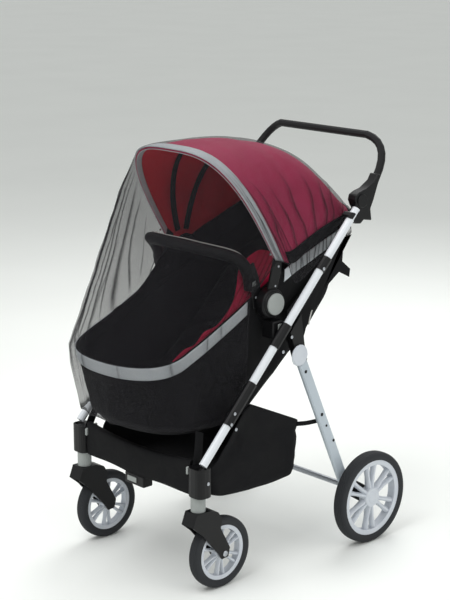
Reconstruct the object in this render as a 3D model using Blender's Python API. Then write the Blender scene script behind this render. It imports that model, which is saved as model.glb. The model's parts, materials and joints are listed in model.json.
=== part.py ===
"""Mosquito net drawn over the seat of a baby stroller, with the stroller it fits built plain.

Metres, +Z up. The foot end of the seat faces -Y and the handle +Y. The stroller's own left
side is +X. The origin is on the floor under the middle of the whole object.
"""

import math
from collections import namedtuple

import bmesh
import bpy
from mathutils import Vector

# General fits
GAP = 0.0003
LENGTH_MIDDLE = -0.0215
SIDES = (("left", 1), ("right", -1))
INNER, OUTER = -1, 1
SEAT_MIDDLE = Vector((0.0, -0.040, 0.600))

# Seat tub
TUB_HALF_WIDTH = 0.177
TUB_FOOT_Y = -0.411
TUB_HEAD_Y = 0.300
TUB_FOOT_DEPTH = 0.122
TUB_FOOT_SQUARENESS = 2.2
TUB_HEAD_CORNER = 0.085
TUB_WALL = 0.005
TUB_TAPER = 0.020
TUB_FOOT_LEAN = 0.034
TUB_FOOT_STEPS = 11
TUB_SIDE_STEPS = 12
TUB_DROPS = (0.0, 0.35, 0.70, 0.92, 1.0)
TUB_INSETS = (0.0, 0.0, 0.0, -0.005, -0.022)
RIM_BAND_HEIGHT = 0.031
RIM_BAND_THICKNESS = 0.0022
TUB_HEAD_STEPS = 6
RIM_FRONT_END_Y = -0.092
RIM_REAR_END_Y = 0.034

# Height of the tub's rim and of its underside along the seat
RimPoint = namedtuple("RimPoint", "y rim_z under_z")
RIM_LINE = (
    RimPoint(-0.411, 0.560, 0.398),
    RimPoint(-0.340, 0.570, 0.386),
    RimPoint(-0.270, 0.596, 0.377),
    RimPoint(-0.180, 0.637, 0.368),
    RimPoint(-0.090, 0.684, 0.376),
    RimPoint(0.040, 0.746, 0.468),
    RimPoint(0.130, 0.782, 0.544),
    RimPoint(0.200, 0.808, 0.628),
    RimPoint(0.260, 0.828, 0.712),
    RimPoint(0.300, 0.838, 0.760),
)

# Hood: one row for each bow line, from the front bow to the back end
HoodRow = namedtuple("HoodRow", "base_y base_z top_y top_z half_width squareness")
HOOD_ROWS = (
    HoodRow(-0.022, 0.780, -0.182, 1.043, 0.203, 3.3),
    HoodRow(0.006, 0.771, -0.152, 1.048, 0.203, 3.1),
    HoodRow(0.042, 0.764, -0.055, 1.054, 0.201, 2.6),
    HoodRow(0.098, 0.787, 0.046, 1.046, 0.195, 2.5),
    HoodRow(0.158, 0.812, 0.148, 1.012, 0.189, 2.8),
    HoodRow(0.216, 0.832, 0.240, 0.936, 0.182, 2.6),
    HoodRow(0.262, 0.846, 0.313, 0.861, 0.170, 2.4),
)
HOOD_SKIN = 0.003
HOOD_COLUMNS = 27
HOOD_SECTIONS = 13
HOOD_ARCH_STEPS = 160
HOOD_BINDING_FROM = 3
BOW_BAND_THICKNESS = 0.0022
BOW_BAND_SHARE = 1 / 6
BINDING_THICKNESS = 0.0016
BINDING_GAP = 0.0008
BINDING_SHARE = 0.55
RIB_RADIUS = 0.0035
RIB_INSET = 0.0080
RIB_PLACES = (("front", 0.30), ("rear", 0.48))

# Net
NET_THICKNESS = 0.0012
NET_CLEARANCE = 0.0072
NET_COLUMNS = 57
NET_BACK_HEM = 0.050
NET_BACK_SLACK = 0.005
NET_HOOD_ROWS = 11
NET_TENT_ROWS = 7
NET_SKIRT_ROWS = 4
NET_SKIRT_DROP = 0.92
NET_SKIRT_SLACK = 0.006
NET_RIM_RISE = 0.004
NET_HOOD_POINTS = 65
NET_BACK_ROWS = 2

# Lower edge of the net beside the hood: how far it hangs under the hood's own edge
HemDrop = namedtuple("HemDrop", "along drop")
NET_HEM_DROPS = (
    HemDrop(0.00, 0.004),
    HemDrop(0.22, 0.006),
    HemDrop(0.36, 0.056),
    HemDrop(0.65, 0.054),
    HemDrop(1.00, 0.050),
)

# Folds of the net in front of the hood: places run from 0 at the left hem to 1 at the right
Fold = namedtuple("Fold", "top_place foot_place width height")
TENT_FOLDS = (
    Fold(0.10, 0.08, 0.020, 0.0040),
    Fold(0.22, 0.20, 0.022, 0.0055),
    Fold(0.36, 0.34, 0.020, 0.0040),
    Fold(0.50, 0.46, 0.022, 0.0050),
    Fold(0.60, 0.57, 0.019, 0.0070),
    Fold(0.665, 0.66, 0.018, 0.0085),
    Fold(0.715, 0.74, 0.018, 0.0095),
    Fold(0.765, 0.82, 0.018, 0.0085),
    Fold(0.82, 0.89, 0.018, 0.0065),
    Fold(0.92, 0.96, 0.020, 0.0040),
)

# Folds of the net over the hood's back and sides, from the back hem to the front bow
HOOD_FOLDS = (
    Fold(0.05, 0.08, 0.020, 0.0035),
    Fold(0.15, 0.14, 0.018, 0.0040),
    Fold(0.27, 0.25, 0.022, 0.0035),
    Fold(0.50, 0.46, 0.020, 0.0030),
    Fold(0.70, 0.74, 0.022, 0.0035),
    Fold(0.83, 0.86, 0.018, 0.0040),
    Fold(0.94, 0.93, 0.018, 0.0035),
)

# Seat pad inside the tub
PAD_SIDE_GAP = 0.012
PAD_THICKNESS = 0.024
PAD_EDGE = 0.0072
PAD_CROWN = 0.003
PAD_STEPS = 14
PAD_FOOT_NARROWING = 0.62
PAD_HEAD_NARROWING = 0.70
PAD_NARROWING_RATE = 3.1
PadPoint = namedtuple("PadPoint", "y top_z")
PAD_LINE = (
    PadPoint(-0.352, 0.449),
    PadPoint(-0.200, 0.456),
    PadPoint(-0.090, 0.492),
    PadPoint(0.020, 0.580),
    PadPoint(0.130, 0.690),
    PadPoint(0.238, 0.786),
)

# Bumper bar across the seat
BUMPER_RADIUS = 0.0140
BUMPER_HALF_WIDTH = 0.152
BUMPER_FOOT = (-0.052, 0.668)
BUMPER_TOP = (-0.134, 0.797)
BUMPER_CORNER = 0.060
BUMPER_STEPS = 7

# Hood pivots
HUB_Y = -0.031
HUB_Z = 0.674
HUB_BOSS_RADIUS = 0.037
HUB_BOSS_INNER_X = 0.1800
HUB_BOSS_OUTER_X = 0.2120
HUB_DISC_RADIUS = 0.027
HUB_DISC_THICKNESS = 0.006
BOW_LEG_HALF_WIDTH = 0.013
BOW_LEG_THICKNESS = 0.005
BOW_LEG_X = 0.2030

# Side frames
TUBE_X = 0.235
TUBE_RADIUS = 0.0105
TUBE_SIDES = 12
TUBE_ROOM = TUBE_RADIUS / math.cos(math.pi / TUBE_SIDES) + GAP
TUBE_TOP = (0.228, 0.878)
TUBE_BOTTOM = (-0.289, 0.328)
SLEEVE_WALL = 0.0022
Sleeve = namedtuple("Sleeve", "label start end")
SLEEVES = (
    Sleeve("upper", 0.200, 0.250),
    Sleeve("middle", 0.465, 0.552),
    Sleeve("lower", 0.690, 0.850),
)
SEAT_LINK_Y = (-0.046, -0.010)
SEAT_LINK_Z = (0.588, 0.632)

# Rear legs
LEG_X = 0.2385
LEG_TOP = (0.036, 0.520)
LEG_BOTTOM = (0.194, 0.172)
LEG_WIDTH = 0.030
LEG_THICKNESS = 0.013
PIVOT_Y = 0.018
PIVOT_Z = 0.543
PIVOT_RADIUS = 0.027
PIVOT_THICKNESS = 0.008
BRACKET_TUBE_PLACE = 0.44
BRACKET_ABOVE = 0.024
BRACKET_BELOW = 0.030
BRACKET_BACK = (0.040, 0.563)

# Handle
HANDLE_RADIUS = 0.0100
HANDLE_HALF_WIDTH = 0.230
HANDLE_LOW = (0.284, 0.922)
HANDLE_MIDDLE = (0.362, 1.002)
HANDLE_HIGH = (0.350, 1.044)
HANDLE_CORNER = 0.075
HANDLE_BEND = 0.030
HANDLE_STEPS = 8
KNOB_Y = 0.256
KNOB_Z = 0.894
KNOB_RADIUS = 0.026
KNOB_THICKNESS = 0.034
KNOB_X = 0.231

# Wheels
WHEEL_SIDES = 36
SPOKE_PATTERN = (1, 0, 1, 0, 0, 0)
HUB_AND_RIM_WIDTH_SHARE = 0.72
TYRE_TREAD_SHARE = 0.62
TYRE_BEAD_SHARE = 0.80
TYRE_SHOULDER_SHARE = 0.55
Wheel = namedtuple("Wheel", "label x y radius width rim_radius rim_inner hub_radius")
REAR_WHEEL = Wheel("rear", 0.2725, 0.258, 0.1210, 0.036, 0.1000, 0.0870, 0.026)
FRONT_WHEEL = Wheel("front", 0.2190, -0.222, 0.0900, 0.030, 0.0690, 0.0590, 0.018)
AXLE_RADIUS = 0.0075
AXLE_Y = 0.214
AXLE_Z = 0.150

# Front of the chassis
FRONT_BLOCK_MIDDLE = (0.2230, -0.288)
FRONT_BLOCK_HALF_SIZE = (0.0250, 0.0220)
FRONT_BLOCK_SQUARENESS = 3.0
FRONT_BLOCK_SIDES = 20
FRONT_BLOCK_Z = (0.250, 0.322)
CASTER_Y = -0.290
CASTER_RADIUS = 0.018
CASTER_SIDES = 20
CASTER_TOP_Z = 0.2497
FORK_GAP = 0.0015
FORK_PLATE = 0.005
FORK_CROWN_Z = 0.212
CROSS_MEMBER_Y = (-0.308, -0.268)
CROSS_MEMBER_Z = (0.256, 0.314)

# Storage basket
BASKET_HALF_WIDTH = 0.214
BASKET_FRONT_Y = -0.252
BASKET_BACK_Y = 0.070
BASKET_CORNER = 0.035
BASKET_WALL = 0.003
BASKET_CORNER_STEPS = 4
BASKET_SIDE_STEPS = 8
BASKET_DROPS = (0.0, 0.45, 0.80, 1.0)
BASKET_INSETS = (0.0, 0.0, -0.006, -0.026)
BasketPoint = namedtuple("BasketPoint", "y top_z floor_z")
BASKET_LINE = (
    BasketPoint(-0.252, 0.330, 0.240),
    BasketPoint(-0.200, 0.362, 0.224),
    BasketPoint(-0.120, 0.436, 0.216),
    BasketPoint(-0.030, 0.396, 0.214),
    BasketPoint(0.070, 0.345, 0.222),
)

# Finishes: sRGB-like colour, roughness, metallic
BLACK_CLOTH = ((0.012, 0.012, 0.014), 0.92, 0.0)
BURGUNDY_CLOTH = ((0.190, 0.018, 0.045), 0.85, 0.0)
GREY_CLOTH = ((0.420, 0.440, 0.460), 0.80, 0.0)
NET_MESH = ((0.030, 0.030, 0.034), 0.75, 0.0)
BLACK_PLASTIC = ((0.014, 0.014, 0.015), 0.45, 0.0)
GREY_PLASTIC = ((0.450, 0.460, 0.450), 0.45, 0.0)
WHITE_PAINT = ((0.780, 0.790, 0.820), 0.30, 0.0)
BLACK_FOAM = ((0.016, 0.016, 0.017), 0.80, 0.0)
TYRE_RUBBER = ((0.020, 0.021, 0.022), 0.75, 0.0)
GREY_STEEL = ((0.330, 0.350, 0.370), 0.35, 1.0)


def clear_scene():
    """Remove what a new Blender file starts with."""
    for thing in list(bpy.data.objects):
        bpy.data.objects.remove(thing, do_unlink=True)


def principled(name, finish):
    """One Principled material of a colour, a roughness and a metallic value."""
    colour, roughness, metallic = finish
    material = bpy.data.materials.new(name)
    material.use_nodes = True
    shader = material.node_tree.nodes["Principled BSDF"]
    shader.inputs["Base Color"].default_value = (*colour, 1.0)
    shader.inputs["Roughness"].default_value = roughness
    shader.inputs["Metallic"].default_value = metallic
    return material


def add_object(name, data, finish):
    """Link an object in the frame whose origin is under the object's middle."""
    thing = bpy.data.objects.new(name, data)
    thing.location.y = -LENGTH_MIDDLE
    data.materials.append(principled(name + "_finish", finish))
    bpy.context.scene.collection.objects.link(thing)
    return thing


def mesh_object(name, points, faces, finish, smooth_angle=None):
    """An object from points and faces, with its faces turned to point out."""
    mesh = bpy.data.meshes.new(name)
    mesh.from_pydata([tuple(point) for point in points], [], faces)
    work = bmesh.new()
    work.from_mesh(mesh)
    bmesh.ops.recalc_face_normals(work, faces=work.faces)
    work.to_mesh(mesh)
    work.free()
    if smooth_angle is not None:
        mesh.shade_smooth()
        mesh.set_sharp_from_angle(angle=math.radians(smooth_angle))
    return add_object(name, mesh, finish)


def bevelled(thing, width, segments=1):
    """Round an object's hard edges."""
    bevel = thing.modifiers.new("Edges", "BEVEL")
    bevel.width = width
    bevel.segments = segments
    bevel.limit_method = "ANGLE"
    bevel.angle_limit = math.radians(40)
    return thing


def prism(name, outline, x_from, x_to, finish, edge=0.0):
    """A plate: an outline of (y, z) points drawn out along X."""
    count = len(outline)
    points = [(x, y, z) for x in (x_from, x_to) for y, z in outline]
    faces = [list(range(count)), list(range(2 * count - 1, count - 1, -1))]
    for here in range(count):
        after = (here + 1) % count
        faces.append([here, after, count + after, count + here])
    thing = mesh_object(name, points, faces, finish)
    return bevelled(thing, edge) if edge else thing


def post(name, outline, z_from, z_to, finish):
    """An upright piece: an outline of (x, y) points drawn up along Z."""
    count = len(outline)
    points = [(x, y, z) for z in (z_from, z_to) for x, y in outline]
    faces = [list(range(count)), list(range(2 * count - 1, count - 1, -1))]
    for here in range(count):
        after = (here + 1) % count
        faces.append([here, after, count + after, count + here])
    return mesh_object(name, points, faces, finish, 40)


def plan_oval(x, y, half_size, squareness, sides):
    """A rounded outline in plan: a squareness of 2 gives an ellipse, more squares it off."""
    outline = []
    for k in range(sides):
        angle = 2 * math.pi * (k + 0.5) / sides
        across = math.copysign(abs(math.cos(angle)) ** (2 / squareness), math.cos(angle))
        along = math.copysign(abs(math.sin(angle)) ** (2 / squareness), math.sin(angle))
        outline.append((x + half_size[0] * across, y + half_size[1] * along))
    return outline


def disc_outline(y, z, radius, sides=16):
    """A regular outline around a point of the side view."""
    turn = 2 * math.pi / sides
    return [(y + radius * math.cos(k * turn), z + radius * math.sin(k * turn)) for k in range(sides)]


def box_outline(y_range, z_range):
    """A rectangle of the side view."""
    return [
        (y_range[0], z_range[0]),
        (y_range[1], z_range[0]),
        (y_range[1], z_range[1]),
        (y_range[0], z_range[1]),
    ]


def tube(name, points, radius, finish, resolution=4):
    """A round tube along a line of points, with filled ends."""
    curve = bpy.data.curves.new(name, "CURVE")
    curve.dimensions = "3D"
    curve.bevel_depth = radius
    curve.bevel_resolution = resolution
    curve.use_fill_caps = True
    spline = curve.splines.new("POLY")
    spline.points.add(len(points) - 1)
    for place, point in zip(spline.points, points):
        place.co = (*point, 1.0)
    return add_object(name, curve, finish)


def ease(here, low, high):
    """A smooth step from 0 at low to 1 at high."""
    share = min(max((here - low) / (high - low), 0.0), 1.0)
    return share * share * (3 - 2 * share)


def read_line(rows, key, value, at):
    """Read one column of a table against another along a smooth line."""
    last = len(rows) - 1
    place = 0
    while place < last - 1 and getattr(rows[place + 1], key) < at:
        place += 1
    low, high = getattr(rows[place], key), getattr(rows[place + 1], key)
    share = min(max((at - low) / (high - low), 0.0), 1.0)
    values = [getattr(rows[min(max(place + k, 0), last)], value) for k in (-1, 0, 1, 2)]
    return catmull(values, share)


def catmull(values, share):
    """A smooth value between the second and the third of four."""
    before, start, end, after = values
    square, cube = share * share, share ** 3
    return 0.5 * (
        2 * start
        + (end - before) * share
        + (2 * before - 5 * start + 4 * end - after) * square
        + (3 * start - before - 3 * end + after) * cube
    )


def row_between(rows, along):
    """A table's row at a share of the way from its first to its last."""
    last = len(rows) - 1
    place = min(int(along * last), last - 1)
    share = along * last - place
    around = [rows[min(max(place + k, 0), last)] for k in (-1, 0, 1, 2)]
    return type(rows[0])(*[catmull(values, share) for values in zip(*around)])


def resample(points, count):
    """The same line as a given number of evenly spaced points."""
    reach = [0.0]
    for start, end in zip(points, points[1:]):
        reach.append(reach[-1] + (end - start).length)
    even, place = [], 0
    for step in range(count):
        goal = reach[-1] * step / (count - 1)
        while place < len(points) - 2 and reach[place + 1] < goal:
            place += 1
        span = reach[place + 1] - reach[place]
        share = (goal - reach[place]) / span if span else 0.0
        even.append(points[place].lerp(points[place + 1], share))
    return even


def grid_faces(rows, columns, closed=False):
    """Four-sided faces between rows of points."""
    faces = []
    for row in range(rows - 1):
        for column in range(columns if closed else columns - 1):
            after = (column + 1) % columns
            here, above = row * columns, (row + 1) * columns
            faces.append([here + column, here + after, above + after, above + column])
    return faces


def grid_normals(rows):
    """The outward direction at each point of an arched grid, away from the seat's inside."""
    normals = []
    last_row, last_column = len(rows) - 1, len(rows[0]) - 1
    for r in range(last_row + 1):
        line = []
        for c in range(last_column + 1):
            across = rows[r][min(c + 1, last_column)] - rows[r][max(c - 1, 0)]
            along = rows[min(r + 1, last_row)][c] - rows[max(r - 1, 0)][c]
            line.append(along.cross(across).normalized())
        normals.append(line)
    return normals


def offset_grid(rows, distance):
    """The grid moved out by a distance."""
    normals = grid_normals(rows)
    return [
        [point + normal * distance for point, normal in zip(line, line_normals)]
        for line, line_normals in zip(rows, normals)
    ]


def add_thickness(thing, thickness, side):
    """Give an open sheet its thickness: -1 puts it on the inner side and 1 on the outer side."""
    solid = thing.modifiers.new("Thickness", "SOLIDIFY")
    solid.thickness = thickness
    solid.offset = side
    solid.use_even_offset = True


def faces_outward(points, faces):
    """Turn a sheet's faces so that they look away from the middle of the seat."""
    turned = 0.0
    for face in faces:
        first, second, third = (points[face[k]] for k in (0, 1, 2))
        normal = (second - first).cross(third - first)
        turned += normal.dot(first - SEAT_MIDDLE)
    return faces if turned > 0 else [list(reversed(face)) for face in faces]


def thick_sheet(name, rows, thickness, finish, side):
    """A sheet of cloth on a grid of points, given its thickness on its inner or outer side."""
    points = [point for line in rows for point in line]
    faces = faces_outward(points, grid_faces(len(rows), len(rows[0])))
    mesh = bpy.data.meshes.new(name)
    mesh.from_pydata([tuple(point) for point in points], [], faces)
    mesh.shade_smooth()
    thing = add_object(name, mesh, finish)
    add_thickness(thing, thickness, side)
    return thing


def open_bag(name, rings, thickness, finish):
    """A bag of cloth, open at its top ring and closed by a floor across its last ring."""
    count = len(rings[0])
    points = [point for ring in rings for point in ring]
    faces = grid_faces(len(rings), count, closed=True)
    base = (len(rings) - 1) * count
    for k in range(count // 2):
        left = [base + k, base + k + 1]
        right = [base + (count - k - 1) % count, base + (count - k) % count]
        faces.append(list(dict.fromkeys(left + right)))
    mesh = bpy.data.meshes.new(name)
    mesh.from_pydata([tuple(point) for point in points], [], faces_outward(points, faces))
    mesh.shade_smooth()
    thing = add_object(name, mesh, finish)
    add_thickness(thing, thickness, INNER)
    return thing


def tub_loop(grow, drop):
    """Half of the tub's outline in plan, from the foot's middle to the head's middle.

    grow moves the outline out, and drop, from 0 at the rim to 1 at the underside, draws it in.
    """
    half = TUB_HALF_WIDTH + grow - TUB_TAPER * drop
    foot = TUB_FOOT_Y - grow + TUB_FOOT_LEAN * drop
    head = TUB_HEAD_Y + grow - TUB_TAPER * drop
    foot_depth, head_turn = TUB_FOOT_DEPTH + grow, TUB_HEAD_CORNER + grow
    line = []
    for step in range(TUB_FOOT_STEPS + 1):
        angle = math.radians(90 * step / TUB_FOOT_STEPS)
        line.append((half * math.sin(angle) ** (2 / TUB_FOOT_SQUARENESS),
                     foot + foot_depth * (1 - math.cos(angle) ** (2 / TUB_FOOT_SQUARENESS))))
    side_from, side_to = foot + foot_depth, head - head_turn
    for step in range(1, TUB_SIDE_STEPS):
        line.append((half, side_from + (side_to - side_from) * step / TUB_SIDE_STEPS))
    for step in range(TUB_HEAD_STEPS + 1):
        angle = math.radians(90 * step / TUB_HEAD_STEPS)
        line.append((half - head_turn + head_turn * math.cos(angle),
                     head - head_turn + head_turn * math.sin(angle)))
    line += [((half - head_turn) * 0.5, head), (0.0, head)]
    return line


def rim_z(y):
    """Height of the tub's rim at a place along the seat."""
    return read_line(RIM_LINE, "y", "rim_z", y)


def under_z(y):
    """Height of the tub's underside at a place along the seat."""
    return read_line(RIM_LINE, "y", "under_z", y)


def tub_ring(grow, drop):
    """A full ring around the tub at a share of the way down its wall."""
    half = tub_loop(grow, drop)
    around = half + [(-x, y) for x, y in reversed(half[1:-1])]
    ring = []
    for x, y in around:
        top, low = rim_z(y), under_z(y)
        ring.append(Vector((x, y, top + (low - top) * drop)))
    return ring


def build_tub():
    """The seat tub: one open shell of cloth over its board, rounded at the foot and the head."""
    rings = [tub_ring(grow, drop) for grow, drop in zip(TUB_INSETS, TUB_DROPS)]
    open_bag("seat_tub", rings, TUB_WALL, BLACK_CLOTH)


def front_run(ring, end_y):
    """The part of a ring that goes round the foot end, from the left to the right."""
    half = len(ring) // 2
    return end_run(list(reversed(ring[half:] + ring[:half + 1])), end_y, -1)


def rear_run(ring, end_y):
    """The part of a ring that goes round the head end, from the left to the right."""
    return end_run(ring + ring[:1], end_y, 1)


def end_run(line, end_y, way):
    """The points of a line past a place along the seat, with its ends cut exactly there."""
    run = []
    for start, end in zip(line, line[1:]):
        inside = [(point.y - end_y) * way > 0 for point in (start, end)]
        if inside[0]:
            run.append(start)
        if inside[0] != inside[1]:
            run.append(start.lerp(end, (end_y - start.y) / (end.y - start.y)))
    return run


def build_rim_bands():
    """The light bands around the rim, in front of the hood's pivots and behind them."""
    ring = tub_ring(BINDING_GAP, 0.0)
    below = tub_ring(BINDING_GAP, TUB_DROPS[1])
    low_ring = [top.lerp(low, RIM_BAND_HEIGHT / (top.z - low.z)) for top, low in zip(ring, below)]
    for label, run, end_y in (("front", front_run, RIM_FRONT_END_Y), ("rear", rear_run, RIM_REAR_END_Y)):
        rows = [run(ring, end_y), run(low_ring, end_y)]
        thick_sheet("rim_band_" + label, rows, RIM_BAND_THICKNESS, GREY_CLOTH, OUTER)


def build_pad():
    """The padded lining that the child lies on, with its raised head part."""
    rows = []
    first, last = PAD_LINE[0].y, PAD_LINE[-1].y
    widest = TUB_HALF_WIDTH - TUB_TAPER - TUB_WALL - PAD_SIDE_GAP
    for step in range(PAD_STEPS + 1):
        y = first + (last - first) * step / PAD_STEPS
        top = read_line(PAD_LINE, "y", "top_z", y)
        room = min(1.0, PAD_FOOT_NARROWING + PAD_NARROWING_RATE * (y - first))
        room *= min(1.0, PAD_HEAD_NARROWING + PAD_NARROWING_RATE * (last - y))
        half, low = widest * room, top - PAD_THICKNESS
        right = [
            Vector((half * 0.4, y, top + PAD_CROWN)),
            Vector((half - PAD_EDGE, y, top)),
            Vector((half, y, top - PAD_EDGE)),
            Vector((half, y, low + PAD_EDGE)),
            Vector((half - PAD_EDGE, y, low)),
        ]
        rows.append([Vector((-point.x, point.y, point.z)) for point in reversed(right)] + right)
    points = [point for row in rows for point in row]
    count = len(rows[0])
    faces = grid_faces(len(rows), count, closed=True)
    faces.append(list(range(count)))
    faces.append([(len(rows) - 1) * count + k for k in reversed(range(count))])
    mesh_object("seat_pad", points, faces, BURGUNDY_CLOTH, 50)


def hood_arch(row, count):
    """One bow line of the hood, from its left base over the top to its right base."""
    dense = []
    for step in range(HOOD_ARCH_STEPS + 1):
        angle = math.pi * step / HOOD_ARCH_STEPS
        side, rise = math.cos(angle), math.sin(angle)
        x = math.copysign(abs(side) ** (2 / row.squareness), side) * row.half_width
        height = max(rise, 0.0) ** (2 / row.squareness)
        y = row.base_y + (row.top_y - row.base_y) * height
        z = row.base_z + (row.top_z - row.base_z) * height
        dense.append(Vector((x, y, z)))
    return resample(dense, count)


def hood_grid(row_count, column_count, start=0.0, end=1.0):
    """The hood's outer surface as rows of points from the front bow to the back."""
    grid = []
    for step in range(row_count):
        along = start + (end - start) * step / (row_count - 1)
        grid.append(hood_arch(row_between(HOOD_ROWS, along), column_count))
    return grid


def build_hood():
    """The hood: one curved skin of cloth, its front band, its bound edge and its ribs."""
    grid = hood_grid(HOOD_SECTIONS, HOOD_COLUMNS)
    thick_sheet("hood_skin", grid, HOOD_SKIN, BURGUNDY_CLOTH, INNER)
    bow = hood_grid(3, HOOD_COLUMNS, 0.0, BOW_BAND_SHARE)
    thick_sheet("hood_front_band", offset_grid(bow, BINDING_GAP), BOW_BAND_THICKNESS, GREY_CLOTH, OUTER)
    outer = offset_grid(grid, 2 * BINDING_GAP)[HOOD_BINDING_FROM:]
    side_rows = outer[:-1]
    lower = [line[0] for line in side_rows] + outer[-1] + [line[-1] for line in reversed(side_rows)]
    upper = [line[0].lerp(line[1], BINDING_SHARE) for line in side_rows]
    upper += [low.lerp(high, BINDING_SHARE) for low, high in zip(outer[-1], outer[-2])]
    upper += [line[-1].lerp(line[-2], BINDING_SHARE) for line in reversed(side_rows)]
    thick_sheet("hood_binding", [lower, upper], BINDING_THICKNESS, BLACK_CLOTH, OUTER)
    for label, along in RIB_PLACES:
        row = row_between(HOOD_ROWS, along)
        inside = row._replace(half_width=row.half_width - RIB_INSET, top_z=row.top_z - RIB_INSET)
        tube("hood_rib_" + label, hood_arch(inside, 21), RIB_RADIUS, BLACK_PLASTIC, 1)


def fold_height(folds, place, along):
    """How far the folds lift the net at a place across it and a share of the way down."""
    lift = 0.0
    for fold in folds:
        middle = fold.top_place + (fold.foot_place - fold.top_place) * along
        lift += fold.height * math.exp(-(((place - middle) / fold.width) ** 2))
    return lift


def net_rim_line(drop, slack):
    """The net's line around the foot end of the tub, from the left hub to the right hub."""
    run = front_run(tub_ring(NET_CLEARANCE + slack, drop), RIM_FRONT_END_Y)
    return resample(run, NET_COLUMNS)


def hem_line(line, lowered, drop):
    """A line of the net over the hood, lowered as a whole and carried down at its ends."""
    line = [point - Vector((0, 0, lowered)) for point in line]
    down = Vector((0, 0, drop))
    return resample([line[0] - down] + line + [line[-1] - down], NET_COLUMNS)


def net_rows():
    """The net without its folds: over the hood from its back, along the tent, down the skirt."""
    over = []
    hood = hood_grid(NET_HOOD_ROWS, NET_HOOD_POINTS)
    normals = grid_normals(hood)
    back = [point + way * (NET_CLEARANCE + NET_BACK_SLACK) for point, way in zip(hood[-1], normals[-1])]
    for step in range(NET_BACK_ROWS):
        share = 1 - step / NET_BACK_ROWS
        over.append(hem_line(back, NET_BACK_HEM * share, NET_BACK_HEM * (1 - share)))
    for step in reversed(range(NET_HOOD_ROWS)):
        along = step / (NET_HOOD_ROWS - 1)
        clearance = NET_CLEARANCE + NET_BACK_SLACK * ease(along, 0.4, 1.0)
        line = [point + way * clearance for point, way in zip(hood[step], normals[step])]
        over.append(hem_line(line, 0.0, read_line(NET_HEM_DROPS, "along", "drop", along)))
    rim = [point + Vector((0, 0, NET_RIM_RISE)) for point in net_rim_line(0.0, 0.0)]
    tent = []
    for step in range(1, NET_TENT_ROWS + 1):
        share = step / NET_TENT_ROWS
        tent.append([start.lerp(end, share) for start, end in zip(over[-1], rim)])
    skirt = []
    for step in range(1, NET_SKIRT_ROWS + 1):
        share = step / NET_SKIRT_ROWS
        slack = NET_SKIRT_SLACK * math.sin(share * math.pi / 2)
        skirt.append(net_rim_line(NET_SKIRT_DROP * share, slack))
    return over, tent, skirt


def net_lift(row, place):
    """How far the net's folds stand out at a row and at a place across it."""
    bow_row = NET_BACK_ROWS + NET_HOOD_ROWS - 1
    if row <= bow_row:
        share = row / bow_row
        return fold_height(HOOD_FOLDS, place, share) * ease(1 - share, 0.0, 0.2)
    down = (row - bow_row) / NET_TENT_ROWS
    lift = fold_height(TENT_FOLDS, place, min(down, 1.0)) * ease(down, 0.0, 0.25)
    below = max(0.0, (down - 1.0) * NET_TENT_ROWS / NET_SKIRT_ROWS)
    return lift * (1.0 + 0.4 * math.sin(below * math.pi))


def build_net():
    """The net: one sheer cloth over the hood, stretched to the foot end and hanging to its hem."""
    over, tent, skirt = net_rows()
    rows = over + tent + skirt
    shaped = []
    for row, (line, directions) in enumerate(zip(rows, grid_normals(rows))):
        shaped_line = []
        for column, (point, direction) in enumerate(zip(line, directions)):
            lift = net_lift(row, column / (NET_COLUMNS - 1))
            shaped_line.append(point - direction * lift)
        shaped.append(shaped_line)
    thick_sheet("mosquito_net", shaped, NET_THICKNESS, NET_MESH, OUTER)


def build_bumper():
    """The foam-covered bar across the seat, held by the hood's pivots."""
    foot_y, foot_z = BUMPER_FOOT
    top_y, top_z = BUMPER_TOP
    line = [Vector((BUMPER_HALF_WIDTH, foot_y, foot_z))]
    rise = Vector((0, top_y - foot_y, top_z - foot_z))
    up = rise.normalized()
    corner = Vector((BUMPER_HALF_WIDTH - BUMPER_CORNER, foot_y, foot_z)) + rise - up * BUMPER_CORNER
    for step in range(BUMPER_STEPS + 1):
        angle = math.radians(90 * step / BUMPER_STEPS)
        line.append(corner + Vector((1, 0, 0)) * BUMPER_CORNER * math.cos(angle)
                    + up * BUMPER_CORNER * math.sin(angle))
    line += [Vector((-point.x, point.y, point.z)) for point in reversed(line)]
    tube("bumper_bar", line, BUMPER_RADIUS, BLACK_FOAM, 3)


def build_hubs():
    """The hood's pivots on both sides, with their discs, and the bow's legs down to them."""
    for label, side in SIDES:
        prism("hub_boss_" + label, disc_outline(HUB_Y, HUB_Z, HUB_BOSS_RADIUS), side * HUB_BOSS_INNER_X,
              side * HUB_BOSS_OUTER_X, BLACK_PLASTIC, 0.004)
        disc_x = HUB_BOSS_OUTER_X + GAP
        prism("hub_disc_" + label, disc_outline(HUB_Y, HUB_Z, HUB_DISC_RADIUS), side * disc_x,
              side * (disc_x + HUB_DISC_THICKNESS), GREY_PLASTIC, 0.002)
        leg = [
            (HUB_Y - BOW_LEG_HALF_WIDTH, HUB_Z + HUB_BOSS_RADIUS + GAP),
            (HUB_Y + BOW_LEG_HALF_WIDTH, HUB_Z + HUB_BOSS_RADIUS + GAP),
            (HOOD_ROWS[0].base_y + 2 * BOW_LEG_HALF_WIDTH, HOOD_ROWS[1].base_z - 3 * GAP),
            (HOOD_ROWS[0].base_y, HOOD_ROWS[0].base_z - 3 * GAP),
        ]
        prism("bow_leg_" + label, leg, side * (BOW_LEG_X - BOW_LEG_THICKNESS), side * BOW_LEG_X,
              BLACK_PLASTIC, 0.001)
        link_x = (HUB_BOSS_INNER_X, TUBE_X - TUBE_ROOM - SLEEVE_WALL - GAP)
        prism("seat_link_" + label, box_outline(SEAT_LINK_Y, SEAT_LINK_Z), side * link_x[0],
              side * link_x[1], BLACK_PLASTIC, 0.003)


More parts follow.
